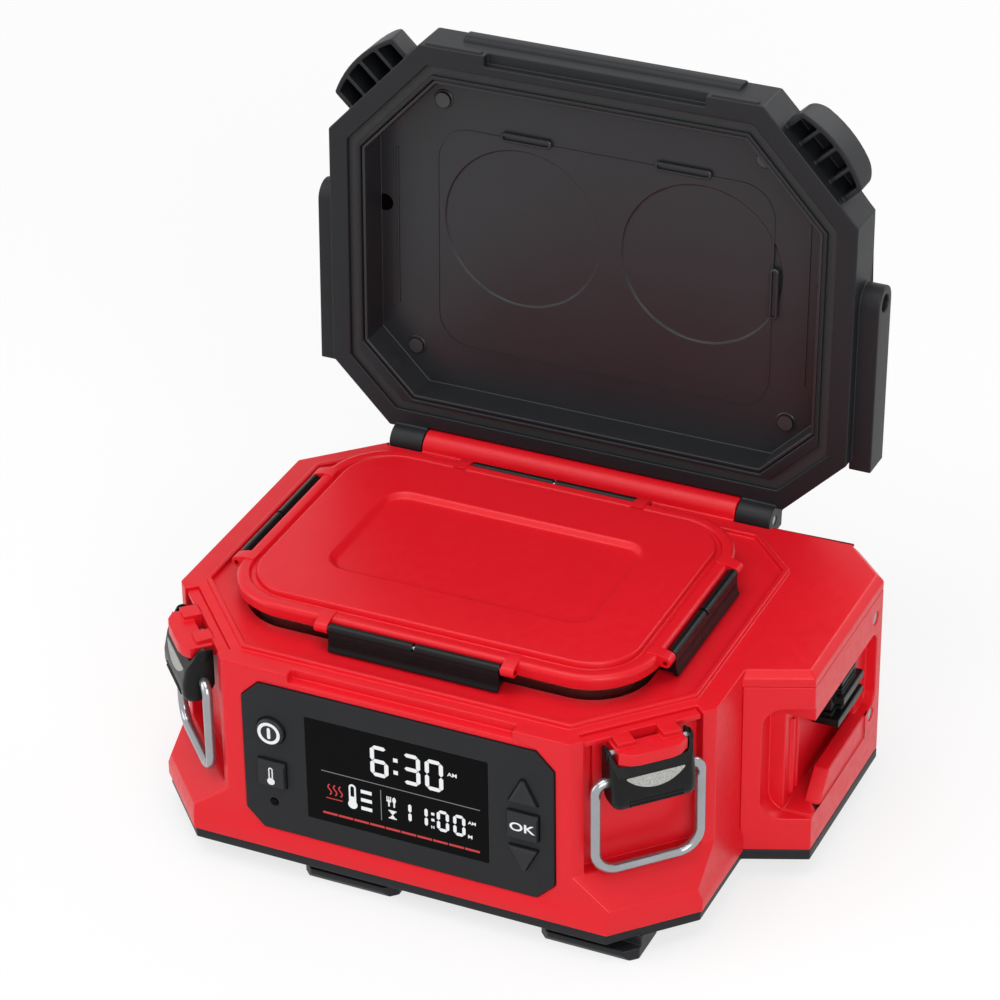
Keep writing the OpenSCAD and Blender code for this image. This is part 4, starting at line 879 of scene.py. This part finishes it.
def at_corner(side):
    """The frame of a front corner, whose -Y points out of the housing; side is -1 on the left."""
    middle = Matrix.Translation((BODY_HALF_W - CORNER_X / 2, -BODY_HALF_D + CORNER_Y / 2, 0))
    return Matrix.Diagonal((side, 1, 1, 1)) @ middle @ rotated(CORNER_TURN, "Z")


def lever_shell():
    """A scoop with rounded corners, open behind and above, whose cheeks lean back to the pin."""
    outer = [(31, 21.6, 2.2, 74.0), (34.8, 25.8, 3.4, 74.5), (36.4, 27.4, 3.9, 75.6), (37, 28, 4.2, 77.2),
             (37, 28, 4.2, 82.0), (37, 25, 4.2, 89.2), (37, 21, 4.2, 99.2)]
    inner = [(34.2, 18.2, 2.8, 99.2), (34.2, 22.2, 2.8, 89.2), (34.2, 25.2, 2.8, 82.0),
             (33.6, 24.6, 2.6, 77.4), (32, 23, 2.2, 76.0), (30, 21, 1.8, 75.6)]
    bm = shifted(rounded_stack(outer + inner, 5), 0, 1.0, 0)
    # each cut takes off what lies beyond a point, in the direction given: behind, low behind, high in front
    cuts = (((0, 0.3, 90), (0, 1, 0)), ((0, 0.3, 82), (0, 0.86, -0.51)),
            ((0, -11.5, 89.3), (0, -0.87, 0.49)))
    for point, direction in cuts:
        bmesh.ops.bisect_plane(bm, geom=list(bm.verts) + list(bm.edges) + list(bm.faces), dist=CUT_GAP,
                               plane_co=point, plane_no=Vector(direction).normalized(), clear_outer=True)
        bmesh.ops.holes_fill(bm, edges=[edge for edge in bm.edges if edge.is_boundary])
    bmesh.ops.recalc_face_normals(bm, faces=bm.faces)
    return round_off(bm, 0.3, 40)


def grip_teeth():
    """Two rows of small teeth along the lever's lip."""
    count, pitch, half_w, half_h = 20, 1.2, 0.3, 0.35
    first = -pitch * (count - 1) / 2
    return [block((x - half_w, x + half_w), (-13.25, -12.4), (z - half_h, z + half_h))
            for z in (75.9, 77.7) for x in [first + pitch * i for i in range(count)]]


def pin_bosses():
    """A low round boss on each cheek, over the pin."""
    profile = [(0.0, 0.0), (2.9, 0.0), (2.9, 0.4), (2.4, 0.7), (0.0, 0.7)]
    places = [Matrix.Translation((18.45 * s, -3.5, 97.0)) @ rotated(90 * s, "Y") for s in (-1, 1)]
    return [moved(turned(profile, 24), place) for place in places]


def grip_crescent():
    """The insert's crescent: a straight top edge over a bow, sunk in the face and just proud of it."""
    bow, half_chord, drop, top = 18.0, 13.5, 6.4, -0.5
    reach = 0.955 * (math.degrees(math.asin(half_chord / bow)) - 1)
    tip = 0.93 * half_chord
    curve = arc((0, bow - drop), bow, -90 - reach, -90 + reach, 18)
    return prism([(-tip, top)] + curve + [(tip, top)], -0.5, 0.14)


def make_lever(side, word):
    parts = [lever_shell()] + grip_teeth() + pin_bosses()
    lever = finish_piece(word + "_latch_lever", gather(parts), BLACK_NYLON, word + "_lever",
                         at_corner(side))
    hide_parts("lever_" + word)
    lean = math.degrees(math.atan2(FACE_BACK, FACE_HEIGHT))
    on_face = Matrix.Translation((0, -11.5, 89.2)) @ rotated(90 - lean, "X")
    insert = finish_piece(word + "_latch_insert", grip_crescent(), GREY_GRIP, word + "_lever",
                          at_corner(side) @ on_face)
    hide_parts("grip_" + word)


# ---------------------------------------------------------------- lid details, drawn on the closed lid
# how deep the details on the tray are set into it, past the dish in its roof
SEAT = 1.2
SCREW_CUPS = ((-74.5, -62.5), (74.5, -62.5), (-88.5, 59.5), (88.5, 59.5))
# the place along X and the radius of each hole at the tray's sides, drawn as a black disc of painted shade
SIDE_HOLES = ((-103.5, 4.0), (102.0, 2.2))


def lid_opened():
    return Matrix.Translation(HINGE) @ rotated(LID_OPEN, "X") @ Matrix.Translation(-HINGE)


def ridge(x, y, size, radius, width, height):
    """A raised line round a rounded rectangle under the liner's roof."""
    outer = (size[0], size[1], radius)
    inner = (size[0] - 2 * width, size[1] - 2 * width, radius - width)
    seat, crest = (LINER_ROOF + SEAT,), (LINER_ROOF - height,)
    return shifted(rounded_stack([outer + seat, outer + crest, inner + crest, inner + seat], 8, hollow=True),
                   x, y, 0)


def tab(x, y, size):
    """A slotted tab that stands on the liner's roof."""
    wall, slope, height, slot_depth = 1.1, 0.4, 1.9, 1.2
    width, depth = size
    slot_w, slot_d = width - 2 * wall, depth - 2 * wall
    top = LINER_ROOF - height
    rings = [(width, depth, 1.9, LINER_ROOF + SEAT), (width, depth, 1.9, top + slope),
             (width - 2 * slope, depth - 2 * slope, 1.6, top), (slot_w, slot_d, 0.95, top),
             (slot_w - 0.2, slot_d - 0.2, 0.85, top + slot_depth)]
    return shifted(rounded_stack(rings, 6), x, y, 0)


def on_roof(profile, x, y):
    return shifted(turned(profile), x, y, LINER_ROOF)


def liner_details():
    """A raised line, three tabs, the screws' cups and a bead near each side of the tray."""
    parts = [ridge(1, 3, (158, 106), 16, width=0.9, height=0.35)]
    parts += [tab(-35, -50.5, (24, 4.2)), tab(38, -50.5, (26, 4.2)), tab(81, -1, (4.2, 24))]
    cup = [(3.6, 0.3), (4.6, 0.3), (4.6, -0.3), (4.3, -0.5), (3.9, -0.5), (3.6, -0.3)]
    parts += [on_roof(cup, x, y) for x, y in SCREW_CUPS]
    parts += [block((x - 0.5, x + 0.5), (-36, 40), (LINER_ROOF - 0.5, LINER_ROOF + 0.3), 0.2)
              for x in (-97.0, 96.0)]
    piece = finish_piece("lid_tray_details", gather(parts), TRAY_ABS, "lid", lid_opened())


def liner_hole_shade():
    """Painted shade for the holes in the tray's sides: flat discs of the display's black stand in for the
    dark inside each hole.
    """
    discs = [on_roof([(0, 0.1), (r, 0.1), (r, -0.08), (0, -0.08)], x, -8) for x, r in SIDE_HOLES]
    piece = finish_piece("lid_tray_hole_shade", gather(discs), DISPLAY_GLASS, "lid", lid_opened())


def lid_edge_details():
    """The raised strip along the lid's front edge and the pads beside the hoods."""
    strip = [(-93.0, 114.6), (-94.6, 115.6), (-95.4, 117.2), (-95.4, 122.0), (-94.2, 124.2), (-93.0, 124.6)]
    pad = [(-93.2, 104.6), (-94.1, 105.0), (-94.1, 107.2), (-93.2, 107.8)]
    parts = [bar(strip, -63.0, 64.0, 0.4), bar(pad, -76, -50, 0.2), bar(pad, 55, 76, 0.2)]
    piece = finish_piece("lid_front_strip", gather(parts), BLACK_ABS, "lid", lid_opened())


make_studio()
dress_nodes()
display_marks()
key_caps()
key_marks()
make_tub()
make_cap()
for flap_side in FLAP_SIDES:
    make_flap(flap_side)
make_lever(1, "right")
make_lever(-1, "left")
liner_details()
liner_hole_shade()
lid_edge_details()
